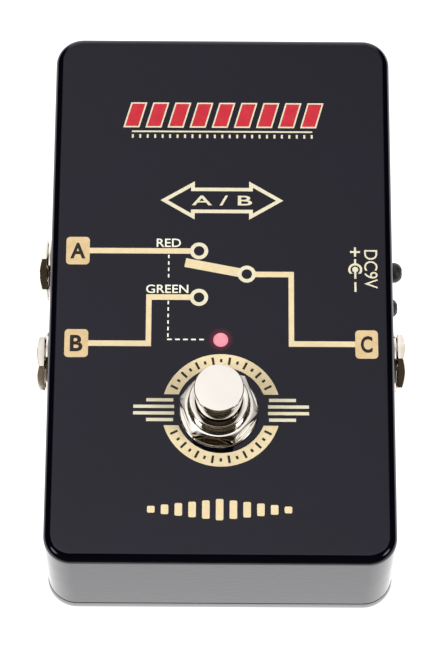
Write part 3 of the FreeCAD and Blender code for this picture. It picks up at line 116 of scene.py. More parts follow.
class Nodes:
    """A node tree, filled one node at a time."""

    def __init__(self, tree: bpy.types.NodeTree) -> None:
        """Take up a tree."""
        self.tree = tree

    def feed(self, node: bpy.types.Node, feeds: dict[Union[str, int], Feed]) -> bpy.types.Node:
        """Set a node's inputs.

        Args:
            node: the node.
            feeds: by an input's name or number, its number or colour, or the socket that it joins.

        Returns:
            The same node.
        """
        for key, value in feeds.items():
            target = node.inputs[key]
            if isinstance(value, bpy.types.NodeSocket):
                self.tree.links.new(value, target)
            else:
                target.default_value = (*value, 1.0) if target.type == "RGBA" else value
        return node

    def node(self, kind: str, feeds: Optional[dict] = None, **settings: object) -> bpy.types.Node:
        """Add one node.

        Args:
            kind: its type name.
            feeds: what its inputs get, as in feed.
            settings: the node's own settings.

        Returns:
            The new node.
        """
        made = self.tree.nodes.new(kind)
        for key, value in settings.items():
            setattr(made, key, value)
        return self.feed(made, feeds or {})

    def maths(self, operation: str, *operands: Feed) -> Socket:
        """The result of one operation on numbers and sockets."""
        return self.node("ShaderNodeMath", dict(enumerate(operands)), operation=operation).outputs[0]

    def vector(self, operation: str, result: str, *operands: Feed) -> Socket:
        """The named result of one operation on vectors."""
        made = self.node("ShaderNodeVectorMath", dict(enumerate(operands)), operation=operation)
        return made.outputs[result]

    def parts(self, vector: Socket) -> dict[str, Socket]:
        """The X, Y and Z of a vector."""
        return dict(self.node("ShaderNodeSeparateXYZ", {"Vector": vector}).outputs.items())

    def mapped(self, source: Socket, start: Pair, result: Pair = (0.0, 1.0), blend: str = "LINEAR") -> Socket:
        """Map one range of a field to another, held at both ends.

        Args:
            source: the field.
            start: the two values that are mapped.
            result: what they become.
            blend: the way from one to the other.

        Returns:
            The mapped field.
        """
        names = ("Value", "From Min", "From Max", "To Min", "To Max")
        feeds = dict(zip(names, (source, *start, *result)))
        return self.node("ShaderNodeMapRange", feeds, interpolation_type=blend).outputs["Result"]

    def ramp(self, source: Socket, stops: Sequence[tuple[float, Triple]]) -> Socket:
        """Let a field choose a colour.

        Args:
            source: the field, from 0 to 1.
            stops: places along it in rising order, with their colours.

        Returns:
            The colour.
        """
        made = self.node("ShaderNodeValToRGB", {"Fac": source})
        points = made.color_ramp.elements
        for point, (place, colour) in zip(points, (stops[0], stops[-1])):
            point.position = place
            point.color = (*colour, 1.0)
        for place, colour in stops[1:-1]:
            points.new(place).color = (*colour, 1.0)
        return made.outputs["Color"]


class Shader(Nodes):
    """The nodes of a material."""

    def __init__(self, material: bpy.types.Material) -> None:
        """Take up a material by its principled surface.

        Args:
            material: the material.
        """
        material.use_nodes = True
        super().__init__(material.node_tree)
        self.material = material
        self.surface = self.tree.nodes["Principled BSDF"]

    @classmethod
    def named(cls, name: str) -> "Shader":
        """Start a new material."""
        return cls(bpy.data.materials.new(name))

    def cover(self, feeds: dict[str, Feed]) -> None:
        """Set the surface's inputs, as in feed."""
        self.feed(self.surface, feeds)

    def coordinates(self, stretch: Triple = EVEN, centre: Triple = ORIGIN) -> Socket:
        """Object coordinates, moved to a centre in mm and stretched along the axes.

        Args:
            stretch: how much finer the pattern is along each axis.
            centre: the point, in mm, that becomes the pattern's middle.

        Returns:
            The vector output.
        """
        place = self.node("ShaderNodeTexCoord").outputs["Object"]
        shift = tuple(-c * s * MM for c, s in zip(centre, stretch))
        feeds = {"Vector": place, "Location": shift, "Scale": stretch}
        return self.node("ShaderNodeMapping", feeds).outputs["Vector"]

    def away(self, centre: Triple) -> Socket:
        """How far a point is from an upright axis, which a centre in mm gives."""
        return self.vector("LENGTH", "Value", self.coordinates(LEVEL, centre))

    def noise(self, place: Socket, scale: float, detail: float = 2.0) -> Socket:
        """A noise field of so many features per metre."""
        feeds = {"Vector": place, "Scale": scale, "Detail": detail}
        return self.node("ShaderNodeTexNoise", feeds).outputs["Fac"]

    def relief(self, source: Socket, strength: float, depth: float) -> None:
        """Raise the surface by a field, to a depth in mm."""
        feeds = {"Height": source, "Strength": strength, "Distance": depth * MM}
        self.cover({"Normal": self.node("ShaderNodeBump", feeds).outputs["Normal"]})


@dataclass(frozen=True)
class Finish:
    """A finish in two shades, two roughnesses and a fine relief.

    Attributes:
        name: the material's name.
        dark: the darker shade, in linear light.
        light: the lighter shade.
        rough: the least and greatest roughness.
        metal: 1 for bare metal.
        slot: a material slot's name; not used.
        index: index of refraction.
        gloss: tint of its reflections.
        patches: size of the shade's patches, per metre.
        grain: size of the relief's grain, per metre.
        relief: strength of the relief.
        depth: its depth in mm.
        stretch: how the grain is drawn out along the axes.
    """

    name: str
    dark: Triple
    light: Triple
    rough: Pair
    metal: float = 0.0
    slot: Slot = Slot.NICKEL
    index: float = 1.5
    gloss: Triple = WHITE
    patches: float = 90.0
    grain: float = 2500.0
    relief: float = 0.1
    depth: float = 0.01
    stretch: Triple = EVEN

    def material(self) -> bpy.types.Material:
        """The finish's material, which is made once."""
        return bpy.data.materials.get(self.name) or self.made()

    def made(self) -> bpy.types.Material:
        """Build the material.

        Returns:
            The new material.
        """
        shader = Shader.named(self.name)
        place = shader.coordinates(self.stretch)
        patch = shader.noise(place, self.patches, 3.0)
        wear = shader.noise(place, self.patches * 2.3, 4.0)
        shader.cover({
            "Base Color": shader.ramp(patch, tuple(zip(MIDDLE, (self.dark, self.light)))),
            "Roughness": shader.mapped(wear, MIDDLE, self.rough),
            "Metallic": self.metal,
            "IOR": self.index,
            "Specular Tint": self.gloss,
        })
        self.carve(shader, place)
        return shader.material

    def carve(self, shader: Shader, place: Socket) -> None:
        """Give the surface its grain."""
        shader.relief(shader.noise(place, self.grain), self.relief, self.depth)


@dataclass(frozen=True)
class PaintedSpillCoat(Finish):
    """A gloss coat with the lamp's light painted on it as a faint glow close round the lamp.

    Attributes:
        centre: the lamp's axis, in mm.
        near: where the painted lamp light is strongest, in mm from the axis.
        far: where it has faded out.
        glow: colour of that painted lamp light, in linear light.
    """

    centre: Triple = LAMP_AXIS
    near: float = 1.5
    far: float = 2.9
    glow: Triple = (0.075, 0.002, 0.010)

    def carve(self, shader: Shader, place: Socket) -> None:
        """Give the coat its relief, then the lamp's light painted on as a glow.

        Args:
            shader: the material's nodes.
            place: the coordinates of its grain.
        """
        super().carve(shader, place)
        # Painted light: the lamp's spill on the coat, as emission that fades out away from the lamp's axis.
        fade = shader.mapped(shader.away(self.centre), (self.far * MM, self.near * MM), blend="SMOOTHERSTEP")
        shader.cover({"Emission Strength": fade, "Emission Color": self.glow})


@dataclass(frozen=True)
class TurnedFinish(Finish):
    """Bright metal with the fine rings that turning about an upright axis leaves.

    Attributes:
        centre: a point of the axis, in mm.
        rings: rings per metre.
        waver: how far the rings stray.
    """

    centre: Triple = SWITCH_AXIS
    rings: float = 6000.0
    waver: float = 1.5

    def carve(self, shader: Shader, place: Socket) -> None:
        """Cut the rings about the axis.

        Args:
            shader: the material's nodes.
            place: the coordinates of the grain, which the rings don't follow.
        """
        rings = shader.node(
            "ShaderNodeTexWave",
            {"Vector": shader.coordinates(centre=self.centre), "Scale": self.rings, "Distortion": self.waver},
            wave_type="RINGS", rings_direction="Z",
        )
        shader.relief(rings.outputs["Fac"], self.relief, self.depth)


@dataclass(frozen=True)
class BandedFinish(Finish):
    """A lacquered body with coloured bands across X.

    Attributes:
        centre: the middle of the body, in mm.
        bands: each band's place from the middle, in mm, and its colour.
        half: half a band's width, in mm.
    """

    centre: Triple = LAMP_AXIS
    bands: tuple[tuple[float, Triple], ...] = ()
    half: float = 0.28

    def made(self) -> bpy.types.Material:
        """Build the material, then lay the bands over its shade.

        Returns:
            The new material.
        """
        shader = Shader(super().made())
        shade = shader.surface.inputs["Base Color"].links[0].from_socket
        along = shader.parts(shader.coordinates(centre=self.centre))["X"]
        for offset, colour in self.bands:
            near = shader.maths("COMPARE", along, offset * MM, self.half * MM)
            band = shader.node("ShaderNodeMixRGB", {"Fac": near, "Color1": shade, "Color2": colour})
            shade = band.outputs["Color"]
        shader.cover({"Base Color": shade})
        return shader.material


@dataclass(frozen=True)
class GlowFinish(Finish):
    """A lit lens, pale in the middle and red at its edge.

    Attributes:
        centre: the lamp's axis, in mm.
        radius: the lens's radius in mm.
        edge: where the red starts and is full, as shares of the radius.
        shrink: how much of that share counts.
        uneven: how far the grain moves the edge, as a share.
        power: strength of its light.
        body: the lens's own colour.
    """

    centre: Triple = LAMP_AXIS
    radius: float = 1.5
    edge: Pair = (0.94, 1.0)
    shrink: float = 0.93
    uneven: float = 0.1
    power: float = 0.95
    body: Triple = (0.08, 0.004, 0.008)

    def made(self) -> bpy.types.Material:
        """Build the material with light that reddens away from the axis.

        Returns:
            The new material.
        """
        shader = Shader.named(self.name)
        share = shader.maths("DIVIDE", shader.away(self.centre), self.radius * MM)
        grain = shader.noise(shader.coordinates(), self.grain, 3.0)
        uneven = shader.maths("MULTIPLY_ADD", grain, self.uneven, share)
        place = shader.maths("MULTIPLY", uneven, self.shrink)
        shader.cover({
            "Base Color": self.body,
            "Roughness": self.rough[0],
            "IOR": self.index,
            "Emission Color": shader.ramp(place, tuple(zip(self.edge, (self.light, self.dark)))),
            "Emission Strength": self.power,
        })
        return shader.material


def ink(name: str, dark: Triple, light: Triple, slot: Slot = Slot.GOLD_INK) -> Finish:
    """A coat of printing ink, matt and a little uneven."""
    return Finish(name + "_ink", dark, light, (0.5, 0.7), slot=slot, index=1.36, patches=700.0, grain=5000.0)


def wire(colour: str, dark: Triple, light: Triple) -> Finish:
    """The sleeve of a hook-up wire."""
    return Finish(colour + "_wire", dark, light, (0.3, 0.45), grain=1500.0)


ORANGE_PEEL = {"patches": 60.0, "grain": 620.0, "relief": 0.3, "depth": 0.06, "stretch": (0.5, 0.5, 1.7)}
# The box's gloss coat; round the lamp it carries the lamp's light as a painted glow.
COAT = PaintedSpillCoat("gloss_coat", (0.0006, 0.0006, 0.0018), (0.0013, 0.0012, 0.0034), (0.035, 0.07),
               slot=Slot.COAT, index=1.405, gloss=(0.84, 0.815, 1.0), **ORANGE_PEEL)
PLATE_COAT = Finish("plate_coat", (0.11, 0.11, 0.11), (0.15, 0.15, 0.148), (0.16, 0.26),
                    index=1.42, **ORANGE_PEEL)
# Painted shadow: near-black for the strip that stands in for the gap between box and plate.
SEAM_SHADOW = Finish("seam_shadow", (0.002, 0.002, 0.002), (0.006, 0.006, 0.006), (0.6, 0.8),
                     slot=Slot.COAT, index=1.2)
NICKEL = Finish("bright_nickel", (0.70, 0.66, 0.60), (0.80, 0.77, 0.72), (0.025, 0.06), 1.0,
                patches=220.0, grain=3500.0, relief=0.05)
DRAWN_NICKEL = Finish("drawn_nickel", (0.68, 0.62, 0.54), (0.82, 0.78, 0.71), (0.12, 0.20), 1.0,
                      patches=260.0, grain=2400.0, relief=0.2, depth=0.012, stretch=(0.3, 1.0, 1.0))
CAP_NICKEL = TurnedFinish("turned_nickel", (0.79, 0.75, 0.70), (0.83, 0.79, 0.74), (0.07, 0.12), 1.0,
                          patches=160.0, relief=0.04, depth=0.004)
ZINC = Finish("zinc_plate", (0.42, 0.43, 0.42), (0.60, 0.61, 0.58), (0.24, 0.38), 1.0,
              patches=260.0, grain=1800.0, relief=0.15)
SPRING_STEEL = Finish("spring_steel", (0.44, 0.44, 0.43), (0.58, 0.57, 0.55), (0.16, 0.28), 1.0,
                      slot=Slot.STEEL, patches=400.0, grain=5000.0, relief=0.08)
BLACK_STEEL = Finish("black_steel", (0.0005, 0.0005, 0.0006), (0.002, 0.002, 0.0024), (0.05, 0.12),
                     index=1.15, patches=500.0, grain=2200.0, relief=0.16)
BRASS = Finish("tinned_brass", (0.58, 0.47, 0.28), (0.80, 0.74, 0.62), (0.20, 0.36), 1.0,
               patches=300.0, grain=3200.0)
BLACK_MOULDING = Finish("black_moulding", (0.010, 0.010, 0.011), (0.018, 0.018, 0.019), (0.38, 0.52),
                        grain=2600.0, relief=0.3, depth=0.015)
BLUE_MOULDING = Finish("blue_moulding", (0.012, 0.05, 0.20), (0.020, 0.075, 0.28), (0.32, 0.48),
                       grain=2200.0, relief=0.25, depth=0.015)
WHITE_MOULDING = Finish("white_nylon", (0.70, 0.68, 0.60), (0.80, 0.79, 0.74), (0.36, 0.5),
                        grain=2000.0, relief=0.12)
BROWN_LAMINATE = Finish("brown_laminate", (0.16, 0.07, 0.025), (0.26, 0.13, 0.05), (0.3, 0.5),
                        patches=700.0, grain=2400.0, relief=0.2, stretch=(0.25, 1.0, 1.0))
GREEN_LAMINATE = Finish("solder_mask", (0.008, 0.085, 0.03), (0.02, 0.17, 0.06), (0.16, 0.3),
                        patches=420.0, grain=900.0, relief=0.3, depth=0.03)
LAMP_GLOW = GlowFinish("lit_lens", (0.50, 0.01, 0.05), (0.90, 0.37, 0.44), (0.35, 0.45),
                       slot=Slot.LAMP, grain=1800.0)
WIRE_YELLOW = wire("yellow", (0.62, 0.38, 0.02), (0.80, 0.53, 0.04))
WIRE_BLACK = wire("black", (0.012, 0.012, 0.012), (0.022, 0.022, 0.022))
WIRE_GREEN = wire("green", (0.02, 0.24, 0.05), (0.04, 0.36, 0.09))
WIRE_RED = wire("red", (0.42, 0.015, 0.012), (0.58, 0.03, 0.022))
GOLD_INK = ink("gold", (0.60, 0.49, 0.295), (0.65, 0.54, 0.33))
PORT_INK = ink("port", (0.52, 0.38, 0.20), (0.59, 0.44, 0.243))
RING_INK = ink("ring", (0.58, 0.48, 0.285), (0.645, 0.54, 0.345))
CREAM_INK = ink("cream", (0.58, 0.535, 0.38), (0.635, 0.59, 0.435))
PALE_INK = ink("pale", (0.69, 0.685, 0.56), (0.765, 0.76, 0.645), Slot.PALE_INK)
RED_INK = ink("red", (0.41, 0.016, 0.028), (0.48, 0.024, 0.04), Slot.RED_INK)
BLACK_INK = Finish("black_ink", (0.004, 0.003, 0.003), (0.008, 0.006, 0.005), (0.42, 0.6),
                   slot=Slot.COAT, patches=700.0, grain=5000.0)


# Shaping


def spun(shape: Shape, steps: int) -> Shape:
    """Spin a shape's points and edges once round the Z axis.

    Args:
        shape: the shape.
        steps: faces in the full turn.

    Returns:
        The same shape, with its doubles merged.
    """
    bmesh.ops.spin(shape, geom=[*shape.verts, *shape.edges], cent=ORIGIN, axis=UPWARD, angle=FULL_TURN,
                   steps=steps, use_merge=True, use_duplicate=False)
    bmesh.ops.remove_doubles(shape, verts=shape.verts, dist=MERGE)
    return shape


def turned(outline: Sequence[Pair], steps: int = 120) -> Shape:
    """Spin a closed outline about the Z axis.

    Args:
        outline: corners as radius and height, in mm.
        steps: faces in a full turn.

    Returns:
        The closed shape.
    """
    shape = bmesh.new()
    corners = [shape.verts.new((radius * MM, 0.0, height * MM)) for radius, height in outline]
    for first, second in zip(corners, corners[1:] + corners[:1]):
        if first.co.x > 0.0 or second.co.x > 0.0:
            shape.edges.new((first, second))
    spun(shape, steps)
    bmesh.ops.dissolve_degenerate(shape, edges=shape.edges, dist=MERGE)
    bmesh.ops.recalc_face_normals(shape, faces=shape.faces)
    return shape


def arc(centre: Pair, radius: float, steps: int = 8) -> list[Pair]:
    """Points of an outline's rounded outer corner, from its side up to its top.

    Args:
        centre: the arc's middle, in mm.
        radius: its radius.
        steps: runs along it.

    Returns:
        The points.
    """
    angles = [math.radians(90.0 * k / steps) for k in range(steps + 1)]
    return [(centre[0] + radius * math.cos(a), centre[1] + radius * math.sin(a)) for a in angles]


def sharp_edges(shape: Shape, angle: float = SHARP) -> list[bmesh.types.BMEdge]:
    """The edges whose faces meet at more than an angle."""
    return [edge for edge in shape.edges if edge.is_manifold and edge.calc_face_angle(0.0) > angle]


def bevelled(shape: Shape, geom: list, radius: float, segments: int, affect: str = "EDGES") -> Shape:
    """Round some edges or corners of a shape.

    Args:
        shape: the shape.
        geom: its edges or corners that are rounded.
        radius: the radius in mm.
        segments: faces across each of them.
        affect: what they are, EDGES or VERTICES.

    Returns:
        The same shape.
    """
    bmesh.ops.bevel(shape, geom=geom, offset=radius * MM, offset_type="OFFSET", affect=affect,
                    segments=segments, profile=0.5, clamp_overlap=True, material=-1)
    return shape


def rounded(shape: Shape, radius: float, segments: int = 3, angle: float = SHARP) -> Shape:
    """Round the sharp edges of a shape to a radius in mm."""
    return bevelled(shape, sharp_edges(shape, angle), radius, segments)


def moved(shape: Shape, x: float, y: float, z: float = 0.0) -> Shape:
    """Move a shape, in mm."""
    bmesh.ops.translate(shape, verts=shape.verts, vec=(x * MM, y * MM, z * MM))
    return shape


def swung(shape: Shape, degrees: float, axis: str = "Z") -> Shape:
    """Turn a shape about an axis through the origin.

    Args:
        shape: the shape.
        degrees: how far it turns.
        axis: the axis, X, Y or Z.

    Returns:
        The same shape.
    """
    turn = Matrix.Rotation(math.radians(degrees), 3, axis)
    bmesh.ops.rotate(shape, verts=shape.verts, cent=ORIGIN, matrix=turn)
    return shape


def plate(low: Pair, high: Pair, corner: float = 0.0, segments: int = 6) -> Shape:
    """A flat rectangle between two corners, in mm.

    Args:
        low: its lower left corner.
        high: its upper right corner.
        corner: radius of its round corners, or 0.
        segments: faces round each of them.

    Returns:
        The flat shape.
    """
    shape = bmesh.new()
    bmesh.ops.create_grid(shape, x_segments=1, y_segments=1, size=0.5)
    bmesh.ops.scale(shape, verts=shape.verts, vec=((high[0] - low[0]) * MM, (high[1] - low[1]) * MM, 1.0))
    moved(shape, (low[0] + high[0]) / 2, (low[1] + high[1]) / 2)
    return bevelled(shape, list(shape.verts), corner, segments, "VERTICES") if corner else shape


def ring(outer: float, inner: float, steps: int = 64) -> Shape:
    """A flat ring about the origin.

    Args:
        outer: its outer radius, in mm.
        inner: its inner radius.
        steps: faces round it.

    Returns:
        The flat shape.
    """
    shape = bmesh.new()
    shape.edges.new([shape.verts.new((radius * MM, 0.0, 0.0)) for radius in (inner, outer)])
    return spun(shape, steps)


def beyond(shape: Shape, y: float, side: int) -> Shape:
    """Cut a flat shape at a level line and keep one side of it.

    Args:
        shape: the flat shape.
        y: the line's place along Y, in mm.
        side: 1 to keep what is over the line, -1 to keep what is under it.

    Returns:
        The same shape.
    """
    bmesh.ops.bisect_plane(shape, geom=[*shape.verts, *shape.edges, *shape.faces], dist=MERGE,
                           plane_co=(0, y * MM, 0), plane_no=(0, -side, 0), clear_outer=True)
    return shape


def rim(shape: Shape, width: float) -> Shape:
    """Keep only the border of a flat shape.

    Args:
        shape: the flat shape.
        width: the border's width, in mm.

    Returns:
        The same shape, open in the middle.
    """
    inner = list(shape.faces)
    shape.normal_update()
    bmesh.ops.inset_region(shape, faces=inner, thickness=width * MM, use_boundary=True, use_even_offset=True)
    bmesh.ops.delete(shape, geom=inner, context="FACES")
    return shape


def thickened(shape: Shape, height: float) -> Shape:
    """Make a flat shape a closed shell.

    Args:
        shape: the flat shape.
        height: the shell's height, in mm.

    Returns:
        The same shape.
    """
    bmesh.ops.recalc_face_normals(shape, faces=shape.faces)
    grown = bmesh.ops.extrude_face_region(shape, geom=list(shape.faces), use_keep_orig=True)["geom"]
    lift = [item for item in grown if isinstance(item, bmesh.types.BMVert)]
    bmesh.ops.translate(shape, verts=lift, vec=(0, 0, height * MM))
    bmesh.ops.recalc_face_normals(shape, faces=shape.faces)
    return shape


def joined(shapes: Sequence[Shape]) -> Shape:
    """Gather shapes into one.

    Args:
        shapes: the shapes, which are used up.

    Returns:
        The new shape.
    """
    whole = bmesh.new()
    for shape in shapes:
        carrier = bpy.data.meshes.new("carrier")
        shape.to_mesh(carrier)
        shape.free()
        whole.from_mesh(carrier)
        bpy.data.meshes.remove(carrier)
    return whole


def mitres(points: Sequence[Pair], widths: Sequence[float]) -> list[tuple[Vector, Vector]]:
    """Find both sides of a line, with mitred corners.

    Args:
        points: its middle line, in mm.
        widths: the width of each run.

    Returns:
        Its left and right side at each point.
    """
    normals = []
    for start, end, width in zip(points, points[1:], widths):
        ahead = Vector(end) - Vector(start)
        normals.append(Vector((-ahead.y, ahead.x)).normalized() * width / 2)
    offsets = [normals[0]]
    for first, second in zip(normals, normals[1:]):
        turn = first.x * second.y - first.y * second.x
        offsets.append(Vector((
            (first.length_squared * second.y - second.length_squared * first.y) / turn,
            (second.length_squared * first.x - first.length_squared * second.x) / turn,
        )))
    offsets.append(normals[-1])
    return [(Vector(point) + offset, Vector(point) - offset) for point, offset in zip(points, offsets)]


def track(points: Sequence[Pair], widths: Sequence[float]) -> Shape:
    """A flat line along points, in mm, with mitred corners.

    Args:
        points: its middle line.
        widths: the width of each run.

    Returns:
        The flat shape.
    """
    shape = bmesh.new()
    rails = mitres(points, widths)
    pair = [shape.verts.new((*side * MM, 0.0)) for side in rails[0]]
    edge = shape.edges.new(pair)
    for sides in rails[1:]:
        grown = bmesh.ops.extrude_edge_only(shape, edges=[edge])["geom"]
        edge = next(item for item in grown if isinstance(item, bmesh.types.BMEdge))
        ahead = [item for item in grown if isinstance(item, bmesh.types.BMVert)]
        ahead.sort(key=lambda vert: (vert.co - pair[0].co).length > (vert.co - pair[1].co).length)
        for vert, side in zip(ahead, sides):
            vert.co = (*side * MM, 0.0)
        pair = ahead
    return shape


def threaded(low: float, high: float, crest: float, pitch: float) -> list[Pair]:
    """The outline of a thread from one height to another, in mm.

    Args:
        low: where it starts.
        high: where it ends.
        crest: its outer radius.
        pitch: from one crest to the next.

    Returns:
        Corners from low to high.
    """
    root = crest - THREAD_DEPTH * pitch
    crests = max(1, round(abs(high - low) / pitch))
    step = (high - low) / crests
    profile = ((root, 0.06), (crest, 0.44), (crest, 0.56), (root, 0.94))
    return [(radius, low + (turn + share) * step) for turn in range(crests) for radius, share in profile]


@dataclass(frozen=True)
class Hexagon:
    """A hexagon nut whose upper end is flat, then domed, then falls away as a cone.

    Attributes:
        flats: across the flats, in mm.
        hole: radius of its hole.
        low: height of its lower end.
        high: height of its upper end.
        flat_circle: radius where the dome starts.
        dome: radius of the dome's curve.
        slope: the cone's fall, in degrees.
        lead: chamfer of its hole.
        foot: chamfer of its lower end.
        rings: faces from the flat circle out to the flats.
        edge: radius of its rounded edges.
    """

    flats: float
    hole: float
    low: float
    high: float
    flat_circle: float
    dome: float
    slope: float
    lead: float = 0.2
    foot: float = 0.3
    rings: int = 5
    edge: float = 0.07

    def drop(self, radius: float) -> float:
        """How far the upper end has fallen at a radius.

        Args:
            radius: the radius, in mm.

        Returns:
            The fall, in mm.
        """
        steep = math.tan(math.radians(self.slope))
        out = max(0.0, radius - self.flat_circle)
        curved = min(out, self.dome * steep)
        return curved ** 2 / (2 * self.dome) + (out - curved) * steep

    def shape(self) -> Shape:
        """Spin the nut, then press its outer wall into a hexagon.

        Returns:
            The nut about its own axis.
        """
        outer = self.flats / 2
        wall = outer + 1.0
        inside = [self.flat_circle + (outer - self.flat_circle) * k / self.rings for k in range(self.rings)]
        nut = turned([
            (self.hole, self.low + self.lead), (self.hole + self.lead, self.low),
            (outer - self.foot, self.low), (wall, self.low + self.foot), (wall, self.high),
            *((radius, self.high - self.drop(radius)) for radius in reversed(inside)),
            (self.hole + self.lead, self.high), (self.hole, self.high - self.lead),
        ], 144)
        for vert in nut.verts:
            radius = math.hypot(vert.co.x, vert.co.y)
            if radius < wall * MM - MERGE:
                continue
            around = math.degrees(math.atan2(vert.co.y, vert.co.x)) % 60.0 - 30.0
            reach = outer / math.cos(math.radians(around))
            vert.co.x *= reach * MM / radius
            vert.co.y *= reach * MM / radius
            if vert.co.z > (self.low + self.high) / 2 * MM:
                vert.co.z -= self.drop(reach) * MM
        return rounded(nut, self.edge, angle=CREASE)

    def fit(self, name: str, finish: Finish, place: Matrix, turn: float, replaces: str) -> None:
        """Make the nut a piece, turned to where it stopped.

        Args:
            name: the piece's name.
            finish: its finish.
            place: where it stands.
            turn: how far it is turned, in degrees.
            replaces: the construction's node that it stands for.
        """
        finished(self.shape(), name, finish, place @ Matrix.Rotation(math.radians(turn), 4, "Z"), replaces)


def placed(shape: Shape, name: str, material: bpy.types.Material) -> bpy.types.Object:
    """Put a shape in the scene.

    Args:
        shape: the bmesh, which is used up.
        name: the object's name.
        material: its material.

    Returns:
        The object, at the origin.
    """
    mesh = bpy.data.meshes.new(name)
    shape.to_mesh(mesh)
    shape.free()
    mesh.materials.append(material)
    piece = bpy.data.objects.new(name, mesh)
    bpy.context.scene.collection.objects.link(piece)
    return piece


def finished(shape: Shape, name: str, finish: Finish, place: Optional[Matrix] = None, replaces: str = "",
             body: Body = Body.HOUSING) -> bpy.types.Object:
    """Turn a shape into a piece that rides on its body.

    Args:
        shape: the bmesh, which is used up.
        name: the piece's name.
        finish: its finish.
        place: where it stands.
        replaces: the construction's node that it stands for, if any.
        body: the body it moves with.

    Returns:
        The piece.
    """
    if place is not None:
        bmesh.ops.transform(shape, matrix=place, verts=shape.verts)
    for face in shape.faces:
        face.smooth = True
    for edge in sharp_edges(shape):
        edge.smooth = False
    piece = placed(shape, name, finish.material())
    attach(piece, body.value)
    if replaces:
        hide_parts(replaces)
    flatten(piece)
    log.info("%s: %d faces", name, len(piece.data.polygons))
    return piece


def flatten(piece: bpy.types.Object) -> None:
    """Let a piece's broad faces set the shading of its narrow edges."""
    normals = piece.modifiers.new("flat_faces_first", "WEIGHTED_NORMAL")
    normals.keep_sharp = True


def smoothing(weld: float = 0.002) -> bpy.types.NodeTree:
    """The node group that welds a carried-over node and keeps only its sharp edges.

    Args:
        weld: how close points are that it joins, in mm.

    Returns:
        The group, made once.
    """
    known = bpy.data.node_groups.get("welded_smooth")
    if known:
        return known
    group = bpy.data.node_groups.new("welded_smooth", "GeometryNodeTree")
    for way in ("INPUT", "OUTPUT"):
        group.interface.new_socket("Geometry", in_out=way, socket_type="NodeSocketGeometry")
    nodes = Nodes(group)
    start = nodes.node("NodeGroupInput").outputs[0]
    whole = nodes.node("GeometryNodeMergeByDistance", {"Geometry": start, "Distance": weld * MM}).outputs[0]
    smooth = nodes.node("GeometryNodeSetShadeSmooth", {"Geometry": whole}).outputs[0]
    angle = nodes.node("GeometryNodeInputMeshEdgeAngle").outputs["Unsigned Angle"]
    soft = nodes.node("FunctionNodeCompare", {"A": angle, "B": SHARP}, operation="LESS_THAN")
    feeds = {"Geometry": smooth, "Shade Smooth": soft.outputs["Result"]}
    edges = nodes.node("GeometryNodeSetShadeSmooth", feeds, domain="EDGE")
    nodes.node("NodeGroupOutput", {0: edges.outputs["Geometry"]})
    return group


def dress(node: str, finish: Finish) -> None:
    """Give a carried-over node its finish and smooth shading.

    Args:
        node: the node's name.
        finish: its finish.
    """
    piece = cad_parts[node]
    if not piece.material_slots:
        piece.data.materials.append(finish.material())
    for held in piece.material_slots:
        held.material = finish.material()
    weld = piece.modifiers.new("welded_smooth", "NODES")
    weld.node_group = smoothing()
    flatten(piece)
    log.info("%s dressed in %s", node, finish.name)


# Sub-assemblies


class Assembly:
    """A sub-assembly: new pieces, and nodes that are carried over."""

    def build(self) -> None:
        """Make the new pieces."""

    def finishes(self) -> dict[str, Finish]:
        """The finish of each node that is carried over."""
        return {}

    def dress(self) -> None:
        """Finish the nodes that are carried over."""
        for node, finish in self.finishes().items():
            dress(node, finish)


@dataclass
class Box(Assembly):
    """The die-cast box, its base plate and the four screws under it.

    Attributes:
        corner: radius of the box's upright edges at its foot, in mm.
        plate: how high over the floor the dark strip of painted gap shadow starts.
        seam: height of that strip.
        proud: how far the strip stands out of the wall.
        line: how deep that strip is.
    """

    corner: float = 6.0
    plate: float = 1.85
    seam: float = 0.45
    proud: float = 0.015
    line: float = 0.4

    def build(self) -> None:
        """Lay a dark strip round the wall where the box meets its base plate, as painted shadow of the gap
        between them.
        """
        low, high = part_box("enclosure")
        half = [(high[k] - low[k]) / 2 / MM + self.proud for k in range(2)]
        whole = plate((-half[0], -half[1]), (half[0], half[1]), self.corner, 24)
        seam = thickened(rim(whole, self.line), self.seam)
        # Painted shadow: a thin dark strip, a little proud of the wall, over the joint.
        finished(moved(seam, 0, 0, self.plate), "painted_gap_shadow", SEAM_SHADOW)

    def finishes(self) -> dict[str, Finish]:
        """Coats for the box and its plate, blacking for the screws."""
        return {"enclosure": COAT, "base_plate": PLATE_COAT, "base_screws": BLACK_STEEL}


